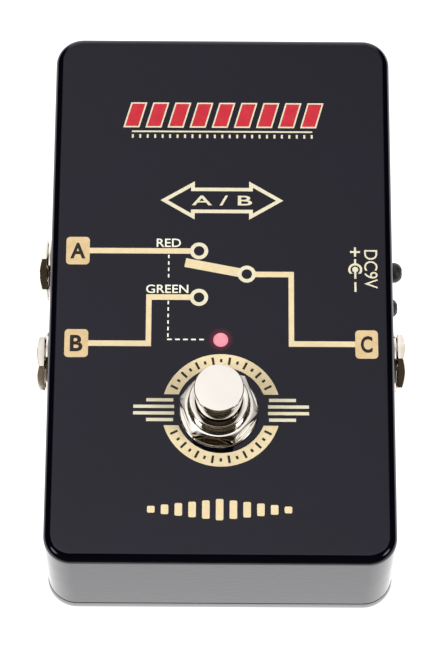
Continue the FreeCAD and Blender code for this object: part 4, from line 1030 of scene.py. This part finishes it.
@dataclass
class FootSwitch(Assembly):
    """The stomp switch: cap, bushing, nut and washer above the face, works below.

    Attributes:
        axis: its axis, in mm.
        cap: radius of the cap at its pressed face.
        cap_foot: radius at its foot.
        cap_top: height of the pressed face.
        skirt: height of the cap's lower edge.
        stem: radius of its stem.
        stem_low: height of the stem's end.
        groove: radius of the stem's groove for the clip.
        clip: heights of the groove's ends.
        thread: radius of the bushing's thread.
        foot: height of the bushing's lower end.
        screw: heights of its thread's ends.
        pitch: pitch of its thread.
        bore: radius of its bore.
        guide: radius of the hole that the stem slides in.
        guide_ends: heights of that hole's ends.
        recess: radius of the hollow under it.
        rim: height of its upper end.
        lip: radius of its rounded rim.
        nut: its nut.
        nut_turn: where the nut stopped, in degrees.
        washer: radii of the washer's hole and of its edge.
        washer_ends: heights of the washer's ends.
        soft: radius of its rounded edge.
        coil: mean radius of the spring.
        wire: half the spring's wire.
        turns: turns of the spring.
        press: how far the spring is squeezed; not used.
    """

    axis: Triple = SWITCH_AXIS
    cap: float = 4.95
    cap_foot: float = 4.55
    cap_top: float = 44.0
    skirt: float = 34.2
    stem: float = 2.2
    stem_low: float = 21.5
    groove: float = 1.7
    clip: Pair = (25.4, 25.95)
    thread: float = 6.0
    foot: float = 24.0
    screw: Pair = (25.0, 36.2)
    pitch: float = 1.0
    bore: float = 4.74
    guide: float = 2.27
    guide_ends: Pair = (26.0, 28.0)
    recess: float = 4.2
    rim: float = 37.3
    lip: float = 0.25
    nut: Hexagon = Hexagon(flats=14.0, hole=6.03, low=31.2, high=34.3, flat_circle=6.3, dome=2.5, slope=13.0)
    nut_turn: float = 50.0
    washer: Pair = (6.15, 8.0)
    washer_ends: Pair = (30.5, 31.2)
    soft: float = 0.35
    coil: float = 3.35
    wire: float = 0.32
    turns: float = 4.5
    press: float = 2.85

    @property
    def place(self) -> Matrix:
        """Where its pieces stand."""
        return Facing.UP.at(*self.axis)

    def build(self) -> None:
        """Make the bright pieces that show, and the spring."""
        self.turn_cap()
        self.turn_bushing()
        self.nut.fit("bushing_nut", NICKEL, self.place, self.nut_turn, "switch_nut")
        (hole, edge), (low, high) = self.washer, self.washer_ends
        washer = turned([(hole, low), (edge, low), *arc((edge - self.soft, high - self.soft), self.soft, 6),
                         (hole, high)])
        finished(rounded(washer, 0.08, angle=CREASE), "face_washer", NICKEL, self.place, "switch_washer")
        self.wind()

    def turn_cap(self) -> None:
        """Turn the cap with its stem and the groove for its clip."""
        low, high = self.clip
        cap = turned([
            (0.0, self.stem_low), (self.stem, self.stem_low), (self.stem, low), (self.groove, low),
            (self.groove, high), (self.stem, high), (self.stem, self.skirt), (self.cap_foot, self.skirt),
            (self.cap_foot, self.rim), (self.cap, self.cap_top), (0.0, self.cap_top),
        ])
        finished(rounded(cap, 0.24, 5), "foot_cap", CAP_NICKEL, self.place, "switch_plunger", Body.PLUNGER)

    def turn_bushing(self) -> None:
        """Turn the threaded bushing with its bore and the guide for the stem."""
        neck, shoulder, lead = 5.0, 5.4, 0.06
        (seat, top), (under, floor) = self.screw, self.guide_ends
        bushing = turned([
            (self.recess, self.foot), (neck, self.foot), (neck, seat), (shoulder, seat),
            *threaded(seat, top, self.thread, self.pitch), (self.thread, top + self.lip),
            *arc((self.thread - self.lip, self.rim - self.lip), self.lip), (self.bore + lead, self.rim),
            (self.bore, self.rim - lead), (self.bore, floor), (self.guide, floor), (self.guide, under),
            (self.recess, under),
        ])
        finished(rounded(bushing, 0.05, 2), "threaded_bushing", NICKEL, self.place, "switch_bushing")

    def wind(self) -> None:
        """Wind the spring under the cap."""
        low, high = (corner[2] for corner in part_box("plunger_spring"))
        sides, steps = 12, round(self.turns * 40)
        shape = bmesh.new()
        bmesh.ops.create_circle(shape, segments=sides, radius=self.wire * MM)
        moved(swung(shape, 90.0, "X"), self.coil, 0.0, low / MM + self.wire)
        rise = (high - low - 2 * self.wire * MM) / steps
        bmesh.ops.spin(
            shape, geom=[*shape.verts, *shape.edges], cent=ORIGIN, axis=UPWARD, dvec=(0, 0, rise),
            angle=self.turns * FULL_TURN, steps=steps, use_merge=False, use_duplicate=False,
        )
        bmesh.ops.holes_fill(shape, edges=[edge for edge in shape.edges if edge.is_boundary], sides=sides)
        bmesh.ops.recalc_face_normals(shape, faces=shape.faces)
        spring = finished(shape, "return_spring", SPRING_STEEL, self.place, "plunger_spring")
        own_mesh(spring)

    def finishes(self) -> dict[str, Finish]:
        """Finishes for the clip, the frame, the case and the works.

        Returns:
            The finish of each node.
        """
        return {
            "plunger_clip": SPRING_STEEL, "switch_lock_washer": ZINC, "switch_lower_nut": NICKEL,
            "switch_bracket": ZINC, "switch_case": BLUE_MOULDING, "switch_tag_board": BROWN_LAMINATE,
            "switch_tags": BRASS, "lever_axle": SPRING_STEEL, "swing_lever": WHITE_MOULDING,
            "lever_pushers": BRASS, "contact_rockers": BRASS,
        }


@dataclass
class Jack(Assembly):
    """One jack: sleeve, nut and washer outside, moulded case and contacts inside.

    Attributes:
        letter: the jack's letter, as its nodes have it.
        facing: the wall it looks out of.
        y: its place along the wall, in mm.
        nut_turn: where its nut stopped, in degrees.
        face: plane where its washer sits, from the middle.
        z: height of its axis.
        bore: radius of the plug's bore.
        thread: radius of its thread.
        pitch: pitch of its thread.
        screw: heights of the thread's ends, from the washer's plane.
        flange: radius of the sleeve's flange, which ends where the thread starts.
        inner: height of the sleeve's inner end.
        end: height of its outer end.
        nut: its nut.
        washer: radii of the washer's hole and of its edge.
        thick: the washer's thickness.
    """

    letter: str
    facing: Facing
    y: float
    nut_turn: float
    face: float = 35.2
    z: float = 19.7
    bore: float = 3.25
    thread: float = 4.45
    pitch: float = 0.75
    screw: Pair = (-2.25, 1.95)
    flange: float = 5.4
    inner: float = -6.2
    end: float = 2.35
    nut: Hexagon = Hexagon(flats=11.0, hole=4.48, low=0.5, high=2.4, flat_circle=5.1, dome=0.8, slope=30.0)
    washer: Pair = (4.5, 6.3)
    thick: float = 0.5

    def build(self) -> None:
        """Make the bright pieces outside the wall."""
        side = -1.0 if self.facing is Facing.LEFT else 1.0
        place = self.facing.at(side * self.face, self.y, self.z)
        prefix = "jack_" + self.letter
        low, high = self.screw
        neck, lip, top, lead = 4.0, 4.15, 4.05, 0.2
        sleeve = turned([
            (self.bore, self.inner), (self.flange, self.inner), (self.flange, low), (neck, low),
            *threaded(low, high, self.thread, self.pitch), (neck, high + 0.05), (lip, high + 0.15),
            (top, self.end), (self.bore + lead, self.end), (self.bore, self.end - lead),
        ])
        finished(rounded(sleeve, 0.04, 2), prefix + "_threaded_sleeve", NICKEL, place, prefix + "_sleeve")
        self.nut.fit(prefix + "_hexagon_nut", DRAWN_NICKEL, place, self.nut_turn, prefix + "_nut")
        hole, edge = self.washer
        washer = turned([(hole, 0.0), (edge, 0.0), (edge, self.thick), (hole, self.thick)])
        finished(rounded(washer, 0.1), prefix + "_thin_washer", NICKEL, place, prefix + "_washer")

    def finishes(self) -> dict[str, Finish]:
        """Finishes for the case and the contacts.

        Returns:
            The finish of each node.
        """
        prefix = "jack_" + self.letter
        contacts = {prefix + part: BRASS for part in ("_tip_contact", "_tip_tag", "_earth_tag")}
        return {prefix + "_case": BLACK_MOULDING, **contacts}


@dataclass
class Lamp(Assembly):
    """The lit lamp with its legs, board and resistors.

    Attributes:
        centre: its axis, in mm.
        radius: radius of its dome.
        foot: radius of its foot.
        low: height of its lower end.
        foot_high: height of the foot's upper side.
        dome: height of the dome's middle.
    """

    centre: Triple = LAMP_AXIS
    radius: float = 1.5
    foot: float = 1.9
    low: float = 26.2
    foot_high: float = 27.2
    dome: float = 30.1

    def build(self) -> None:
        """Mould the lens."""
        lens = turned([
            (0.0, self.low), (self.foot, self.low), (self.foot, self.foot_high),
            (self.radius, self.foot_high),
            *arc((0.0, self.dome), self.radius, 12)[:-1], (0.0, self.dome + self.radius),
        ], 64)
        finished(lens, "lamp_dome", LAMP_GLOW, Facing.UP.at(*self.centre), "lamp_lens")

    def finishes(self) -> dict[str, Finish]:
        """Finishes for the legs and the board, and colour bands for the resistors.

        Returns:
            The finish of each node.
        """
        brown, red, gold = (0.10, 0.03, 0.01), (0.55, 0.02, 0.01), (0.55, 0.33, 0.07)
        yellow, purple = (0.75, 0.55, 0.03), (0.16, 0.03, 0.25)
        finishes: dict[str, Finish] = {"lamp_leads": BRASS, "lamp_board": GREEN_LAMINATE}
        for node, colours in (("lamp_resistor_red", (yellow, purple, brown, gold)),
                              ("lamp_resistor_green", (brown, red, red, gold))):
            bands = tuple(zip((-1.7, -0.7, 0.3, 1.7), colours))
            finishes[node] = BandedFinish(node + "_lacquer", (0.55, 0.42, 0.24), (0.66, 0.52, 0.32),
                                          (0.25, 0.4), bands=bands)
        return finishes


class PowerSocket(Assembly):
    """The power socket with its pin, leaf, screws and nuts."""

    def finishes(self) -> dict[str, Finish]:
        """Finishes for every piece of it.

        Returns:
            The finish of each node.
        """
        return {
            "power_socket": BLACK_MOULDING, "power_centre_pin": NICKEL, "power_sleeve_contact": BRASS,
            "wall_screws": BLACK_STEEL, "wall_nuts": ZINC,
        }


class Wiring(Assembly):
    """The hook-up wires inside the box."""

    def finishes(self) -> dict[str, Finish]:
        """Colours for what the wires carry.

        Returns:
            The finish of each node.
        """
        return {
            "signal_wires": WIRE_YELLOW, "earth_wires": WIRE_BLACK, "lamp_wires": WIRE_GREEN,
            "power_wires": WIRE_RED,
        }


@dataclass
class FacePrint(Assembly):
    """The ink on the face: the line diagram, its letters and plain ornaments.

    Attributes:
        level: height of the face, in mm.
        film: thickness of one coat of ink.
        line: width of the diagram's lines.
        upright: width of its upright lines.
        lever: width of its lever.
        terminal: outer and inner radius of its terminals.
    """

    level: float = 30.5
    film: float = 0.02
    line: float = 1.2
    upright: float = 1.1
    lever: float = 1.95
    terminal: Pair = (1.86, 1.08)

    def inked(self, name: str, finish: Finish, *shapes: Shape, coats: int = 1) -> None:
        """Print flat shapes as one piece, from just inside the face to the height of its coats."""
        raised = thickened(joined(shapes), self.film * (coats + 1))
        finished(moved(raised, 0, 0, self.level - self.film), "print_" + name, finish)

    def words(self, text: str, name: str, low: Pair, high: Pair, finish: Finish, turn: float = 0.0,
              weight: float = 0.0, coats: int = 1) -> None:
        """Letters fitted to a box on the face.

        Args:
            text: the letters.
            name: the piece's name.
            low: lower left corner of their box, in mm.
            high: upper right corner.
            finish: the ink.
            turn: degrees that the letters are turned by.
            weight: how much bolder they are, as a share of their size.
            coats: coats of ink.
        """
        curve = bpy.data.curves.new(name, "FONT")
        curve.body = text
        curve.size = 1.0
        curve.resolution_u = 6
        curve.offset = weight
        curve.extrude = 0.5
        sample = bpy.data.objects.new(name, curve)
        bpy.context.scene.collection.objects.link(sample)
        bpy.context.view_layer.update()
        mesh = bpy.data.meshes.new_from_object(sample)
        bpy.data.objects.remove(sample)
        bpy.data.curves.remove(curve)
        shape = bmesh.new()
        shape.from_mesh(mesh)
        bpy.data.meshes.remove(mesh)
        swung(shape, turn)
        foot = self.level - self.film
        ends = ((low[0], high[0]), (low[1], high[1]), (foot, foot + self.film * (coats + 1)))
        for axis, (start, end) in enumerate(ends):
            places = [vert.co[axis] for vert in shape.verts]
            least, scale = min(places), (end - start) * MM / (max(places) - min(places))
            for vert in shape.verts:
                vert.co[axis] = start * MM + (vert.co[axis] - least) * scale
        bmesh.ops.remove_doubles(shape, verts=shape.verts, dist=MERGE)
        finished(shape, "print_" + name, finish)

    def build(self) -> None:
        """Print the whole face."""
        self.diagram()
        self.ports()
        self.dashes()
        self.double_arrow()
        self.heading()
        self.power_mark()
        self.switch_ring()
        self.near_ornament()

    def diagram(self) -> None:
        """The two lines, the common line, the lever and the three terminals."""
        bent = (self.line, self.upright, self.line)
        for name, points, widths in (
            ("line_a", ((-27.4, 8.7), (-6.3, 8.7)), (self.line,)),
            ("line_b", ((-27.2, -11.6), (-14.74, -11.6), (-14.74, -1.49), (-6.2, -1.49)), bent),
            ("line_c", ((6.8, 3.6), (14.2, 3.6), (14.2, -11.56), (27.5, -11.56)), bent),
            ("lever", ((-7.42, 6.15), (3.6, 3.98)), (self.lever,)),
        ):
            self.inked(name, GOLD_INK, track(points, widths))
        centres = ((-4.62, 8.72), (-4.57, -1.52), (5.15, 3.64))
        terminals = [moved(ring(*self.terminal), *centre) for centre in centres]
        self.inked("terminals", CREAM_INK, *terminals, coats=2)

    def ports(self) -> None:
        """The three lettered squares beside the jacks."""
        for letter, low, high, margin in (
            ("A", (-31.8, 5.6), (-27.0, 11.7), (0.85, 1.3)),
            ("B", (-31.7, -14.65), (-26.9, -8.6), (1.12, 1.25)),
            ("C", (27.1, -14.66), (31.7, -8.54), (1.12, 1.25)),
        ):
            self.inked("port_" + letter.lower(), PORT_INK, plate(low, high, 0.8), coats=2)
            self.words(letter, "letter_" + letter.lower(), (low[0] + margin[0], low[1] + margin[1]),
                       (high[0] - margin[0], high[1] - margin[1]), BLACK_INK, weight=0.03, coats=3)

    def dashes(self) -> None:
        """The dashed link from the colour words to the lamp, and the words."""
        x, y, half = -10.8, -10.7, 0.15
        (drop, drop_pitch), (run, run_pitch) = (0.75, 1.42), (0.95, 1.62)
        rows = ((7.84, 4), (-2.3, 6))
        tops = [start - index * drop_pitch for start, count in rows for index in range(count)]
        lefts = [x - half + index * run_pitch for index in range(5)]
        marks = [plate((x - half, top - drop), (x + half, top)) for top in tops]
        marks += [plate((left, y - half), (left + run, y + half)) for left in lefts]
        self.inked("dashes", PALE_INK, *marks)
        for text, low, high in (("RED", (-13.31, 9.57), (-8.36, 11.41)),
                                ("GREEN", (-15.34, -0.61), (-6.75, 1.23))):
            self.words(text, "word_" + text.lower(), low, high, PALE_INK, weight=0.008, coats=2)

    def double_arrow(self) -> None:
        """The outlined arrow that points both ways, and its letters."""
        centre, tip, barb, wing, shaft, border = 20.05, 12.65, 5.6, 4.3, 2.86, 0.78
        right = [(barb, shaft), (barb, wing), (tip, 0.0), (barb, -wing), (barb, -shaft)]
        shape = bmesh.new()
        corners = right + [(-x, -y) for x, y in right]
        shape.faces.new([shape.verts.new((x * MM, (centre + y) * MM, 0.0)) for x, y in corners])
        self.inked("double_arrow", CREAM_INK, rim(shape, border))
        self.words("A / B", "arrow_letters", (-6.2, 18.92), (6.2, 21.15), CREAM_INK, weight=0.01)

    def heading(self) -> None:
        """A plain red ornament with a pale edge, over a pale rule with ticks."""
        low, high, lean, edge = 36.57, 42.34, 1.6, 0.32
        wide, pitch, left = 2.7, 4.6, -20.3
        for name, finish, grow, coats in (("heading_edge", CREAM_INK, edge, 1),
                                          ("heading_bars", RED_INK, 0.0, 2)):
            bars = []
            for start in (left + index * pitch for index in range(9)):
                bar = plate((start - grow, low + edge - grow), (start + wide + grow, high - edge + grow))
                for vert in bar.verts:
                    vert.co.x += (vert.co.y / MM - low) / (high - low) * lean * MM
                bars.append(bar)
            self.inked(name, finish, *bars, coats=coats)
        first, step, half, foot, top = -18.6, 1.55, 0.2, 34.2, 35.0
        ticks = [first + step * index for index in range(25)]
        marks = [plate((x - half, foot), (x + half, top)) for x in ticks]
        self.inked("heading_rule", CREAM_INK, plate((-18.8, 35.5), (18.7, 35.85)), *marks)

    def power_mark(self) -> None:
        """The voltage and polarity beside the power socket."""
        self.words("DC9V", "word_power", (29.13, 0.65), (31.83, 9.12), CREAM_INK, turn=-90.0)
        x, plus, half, arm = 27.28, 8.67, 0.21, 1.02
        marks = [plate((x - arm, plus - half), (x + arm, plus + half))]
        for low, high in ((7.65, plus - half), (plus + half, 9.7), (6.17, 7.1), (-0.12, 2.01), (2.75, 4.3)):
            marks.append(plate((x - half, low), (x + half, high)))
        (outer, inner, mouth), pin = (1.43, 0.98, -0.85), 0.61
        cup = moved(beyond(ring(outer, inner), mouth, 1), x, 4.74)
        dot = bmesh.new()
        bmesh.ops.create_circle(dot, cap_ends=True, segments=32, radius=pin * MM)
        self.inked("polarity", CREAM_INK, *marks, cup)
        self.inked("polarity_pin", CREAM_INK, moved(dot, x, 4.78), coats=2)

    def switch_ring(self) -> None:
        """The broken gold ring round the switch, with black graduation and level bars."""
        centre, outer, inner, gap = (0.04, -25.8), 11.95, 9.13, 3.3
        halves = [beyond(ring(outer, inner, 144), side * gap, side) for side in (1, -1)]
        self.inked("switch_ring", RING_INK, *(moved(half, *centre) for half in halves))
        first, count, half = 27.0, 15, 0.24
        marks = []
        for index in range(2 * count):
            start, end = (9.75, 11.35) if index % count % 2 == 0 else (10.2, 10.9)
            angle = first + index % count * (180.0 - 2 * first) / (count - 1) + 180.0 * (index // count)
            marks.append(moved(swung(plate((start, -half), (end, half)), angle), *centre))
        self.inked("ring_graduation", BLACK_INK, *marks, coats=2)
        bars, thin = [], 0.34
        for side in (1, -1):
            for row, start, end in ((2.1, 9.6, 15.0), (0.7, 9.4, 17.6), (-0.7, 9.4, 17.6), (-2.1, 9.6, 15.0)):
                left, right = sorted((side * start, side * end))
                bars.append(moved(plate((left, row - thin), (right, row + thin)), *centre))
        self.inked("ring_bars", CREAM_INK, *bars)

    def near_ornament(self) -> None:
        """A row of gold level bars near the edge in front of the switch."""
        middle, pitch, half, corner = (-0.15, -46.7), 2.72, 0.75, 0.3
        tallest, fall = 2.2, 0.3
        bars = []
        for index in range(-5, 6):
            x, tall = middle[0] + index * pitch, tallest - fall * abs(index)
            bars.append(plate((x - half, middle[1] - tall), (x + half, middle[1] + tall), corner))
        self.inked("near_ornament", GOLD_INK, *bars)


# Studio


@dataclass
class Studio:
    """Floor, lights and camera.

    Attributes:
        lens: focal length in mm on a 36 mm frame.
        eye: the camera's place, in mm.
        right: the picture's right hand.
        up: the picture's upper side.
        glow: brightness of the floor.
        card: the floor's width and depth, in mm.
        card_front: where its near edge lies, in mm.
        far_tone: colour of the floor in front of that edge.
        ledge: how far the floor reaches under the base plate, in mm.
        sunk: how far it lies under the object, in mm.
        corner: radius of the base plate's corners, in mm.
        shade_width: how far from the plate the floor is shaded, in mm.
        shade: brightness at the plate, as a share.
        box_front: where the soft box's front edge fades in, as the direction's Y.
        box_sides: where its sides fade in, as its X.
        box_power: its brightness.
        box_gain: shares of that from front to back.
        lean: its shares on the left and on the right, over a strip in the middle.
        strip: that strip, as the direction's X.
        lamp_way: the direction of the right one of two small lamps.
        lamp_edge: how near that direction it starts and is full.
        lamp_power: its brightness.
        room: the room's colours from front to back.
        fill: the place of the right one of two broad lights, in mm.
        fill_size: its size in metres.
        fill_power: its power in watts.
        backdrop: brightness behind the object, as the camera sees it.
    """

    lens: float = 159.6
    eye: Triple = (-0.493, -218.922, 569.818)
    right: Triple = (0.99998481, 0.00463128, 0.00298785)
    up: Triple = (-0.0054032, 0.93069848, 0.36574738)
    glow: float = 1.5
    card: Pair = (340.0, 400.0)
    card_front: float = -120.0
    far_tone: Triple = (0.135, 0.105, 0.08)
    ledge: float = 2.2
    sunk: float = 0.02
    corner: float = 6.0
    shade_width: float = 0.5
    shade: float = 0.3
    box_front: Pair = (-0.10, 0.03)
    box_sides: Pair = (-0.55, -0.30)
    box_power: float = 1.6
    box_gain: tuple[Pair, ...] = (
        (0.0, 0.95), (0.28, 0.82), (0.30, 0.774), (0.33, 0.722), (0.37, 0.70), (0.455, 0.62), (0.6, 0.5),
        (0.85, 0.8), (1.0, 0.95),
    )
    lean: Pair = (1.10, 0.90)
    strip: Pair = (-0.08, 0.08)
    lamp_way: Triple = (0.77, -0.42, 0.48)
    lamp_edge: Pair = (0.97, 0.995)
    lamp_power: float = 5.5
    room: tuple[tuple[float, Triple], ...] = ((0.2, (0.060, 0.045, 0.030)), (0.34, (0.022, 0.014, 0.008)))
    fill: Triple = (700.0, -300.0, 800.0)
    fill_size: float = 0.7
    fill_power: float = 9.0
    backdrop: float = 1.2

    def build(self) -> None:
        """Set up the whole studio."""
        self.lay_floor()
        self.light_sky()
        self.hang_lights()
        self.aim_camera()

    def lay_floor(self) -> None:
        """Lay a white floor, open where the base plate stands, and a dim one in front for reflections."""
        low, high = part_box("base_plate")
        side, front, back = self.card[0] / 2, self.card_front, self.card_front + self.card[1]
        shape = bmesh.new()
        bmesh.ops.create_grid(shape, x_segments=3, y_segments=3, size=0.5)
        for axis, (start, end) in enumerate(((-side, side), (front, back))):
            steps = (start, low[axis] / MM + self.ledge, high[axis] / MM - self.ledge, end)
            for vert in shape.verts:
                vert.co[axis] = steps[round((vert.co[axis] + 0.5) * 3)] * MM
        middle = [face for face in shape.faces if face.calc_center_median().length < side / 2 * MM]
        bmesh.ops.delete(shape, geom=middle, context="FACES_ONLY")
        white = self.papered(shape, "white_floor", "floor_paper")
        white.cover({"Emission Color": WHITE, "Emission Strength": self.contact_shade(white)})
        ahead = plate((-side, front - self.card[1]), (side, front))
        dim = self.papered(ahead, "far_floor", "far_paper", seen=False)
        dim.cover({"Emission Color": self.far_tone, "Emission Strength": self.glow})

    def papered(self, shape: Shape, name: str, paper: str, seen: bool = True) -> Shader:
        """Put a part of the floor in place.

        Args:
            shape: the flat shape, which is used up.
            name: its name.
            paper: its material's name.
            seen: whether the camera sees it.

        Returns:
            The paper's nodes, which don't glow yet.
        """
        shader = Shader.named(paper)
        shader.cover({"Base Color": BLACK, "Specular IOR Level": 0.0})
        floor = placed(moved(shape, 0, 0, -self.sunk), name, shader.material)
        floor.visible_camera = seen
        return shader

    def contact_shade(self, shader: Shader) -> Socket:
        """Dim the floor in the narrow corner where the base plate meets it.

        Args:
            shader: the floor's nodes.

        Returns:
            The floor's brightness.
        """
        low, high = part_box("base_plate")
        place = shader.parts(shader.coordinates())
        out = {}
        for axis, part in enumerate("XY"):
            inside = (high[axis] - low[axis]) / 2 - self.corner * MM
            past = shader.maths("SUBTRACT", shader.maths("ABSOLUTE", place[part]), inside)
            out[part] = shader.maths("MAXIMUM", past, 0.0)
        apart = shader.node("ShaderNodeCombineXYZ", out).outputs["Vector"]
        reach = shader.vector("LENGTH", "Value", apart)
        ends = (self.corner * MM, (self.corner + self.shade_width) * MM)
        return shader.mapped(reach, ends, (self.shade * self.glow, self.glow), "SMOOTHSTEP")

    def light_sky(self) -> None:
        """A soft box overhead that fades behind the object, in a dark room."""
        world = bpy.data.worlds.new("studio")
        world.use_nodes = True
        world.node_tree.nodes.clear()
        bpy.context.scene.world = world
        sky = Nodes(world.node_tree)
        way = sky.parts(sky.node("ShaderNodeTexCoord").outputs["Generated"])
        greys = [(at, (share, share, share)) for at, share in self.box_gain]
        gain = sky.maths("MULTIPLY", sky.ramp(way["Y"], greys), self.box_power)
        lean = sky.mapped(way["X"], self.strip, self.lean)
        box = sky.maths("MULTIPLY", sky.maths("MULTIPLY", self.panel(sky, way), gain), lean)
        lamps = sky.maths("ADD", box, self.side_lamps(sky, way))
        depth = sky.maths("MULTIPLY_ADD", way["Y"], 0.5, 0.5)
        whole = sky.vector("ADD", "Vector", lamps, sky.ramp(depth, self.room))
        lit = sky.node("ShaderNodeBackground", {"Color": whole})
        plain = sky.node("ShaderNodeBackground", {"Color": WHITE, "Strength": self.backdrop})
        seen = sky.node("ShaderNodeLightPath").outputs["Is Camera Ray"]
        mix = sky.node("ShaderNodeMixShader", {"Fac": seen, 1: lit.outputs[0], 2: plain.outputs[0]})
        sky.node("ShaderNodeOutputWorld", {"Surface": mix.outputs[0]})

    def side_lamps(self, sky: Nodes, way: dict[str, Socket]) -> Socket:
        """Two small bright lamps, left and right in front of the object.

        Args:
            sky: the world's nodes.
            way: the parts of the direction.

        Returns:
            Their light.
        """
        folded = sky.node("ShaderNodeCombineXYZ", {**way, "X": sky.maths("ABSOLUTE", way["X"])})
        near = sky.vector("DOT_PRODUCT", "Value", folded.outputs["Vector"], self.lamp_way)
        return sky.mapped(near, self.lamp_edge, (0.0, self.lamp_power), "SMOOTHSTEP")

    def panel(self, sky: Nodes, way: dict[str, Socket]) -> Socket:
        """The soft box's outline, with soft edges in front and at both sides.

        Args:
            sky: the world's nodes.
            way: the parts of the direction.

        Returns:
            Its strength, from 0 to 1.
        """
        across = sky.maths("MULTIPLY", sky.maths("ABSOLUTE", way["X"]), -1.0)
        front = sky.mapped(way["Y"], self.box_front, blend="SMOOTHSTEP")
        return sky.maths("MULTIPLY", front, sky.mapped(across, self.box_sides, blend="SMOOTHSTEP"))

    def hang_lights(self) -> None:
        """Two broad lights that only fill the matt surfaces."""
        for name, side in (("fill_left", -1), ("fill_right", 1)):
            data = bpy.data.lights.new(name, "AREA")
            data.size = self.fill_size
            data.energy = self.fill_power
            light = bpy.data.objects.new(name, data)
            light.location = Vector((side * self.fill[0], *self.fill[1:])) * MM
            light.rotation_euler = (-light.location).to_track_quat("-Z", "Y").to_euler()
            light.visible_glossy = False
            light.visible_camera = False
            bpy.context.scene.collection.objects.link(light)

    def aim_camera(self) -> None:
        """Put the camera where the photograph was taken from."""
        data = bpy.data.cameras.new("camera")
        data.lens = self.lens
        data.sensor_width = 36.0
        data.clip_start = 0.01
        data.clip_end = 20.0
        camera = bpy.data.objects.new("camera", data)
        right, up = Vector(self.right), Vector(self.up)
        turn = Matrix((right, up, right.cross(up))).transposed().to_4x4()
        camera.matrix_world = Matrix.Translation(Vector(self.eye) * MM) @ turn
        bpy.context.scene.collection.objects.link(camera)
        bpy.context.scene.camera = camera
        view = bpy.context.scene.view_settings
        view.view_transform = "Standard"
        view.look = "None"


def main() -> None:
    """Build every sub-assembly and log it, then the studio."""
    logging.basicConfig(level=logging.INFO, format="%(name)s %(message)s")
    jacks = (Jack("a", Facing.LEFT, 8.65, 0.0), Jack("b", Facing.LEFT, -11.6, 31.5),
             Jack("c", Facing.RIGHT, -11.6, 11.0))
    for part in (Box(), FootSwitch(), *jacks, Lamp(), PowerSocket(), Wiring(), FacePrint()):
        part.build()
        part.dress()
        log.info("%s is in place", type(part).__name__)
    Studio().build()


if __name__ == "__main__":
    main()
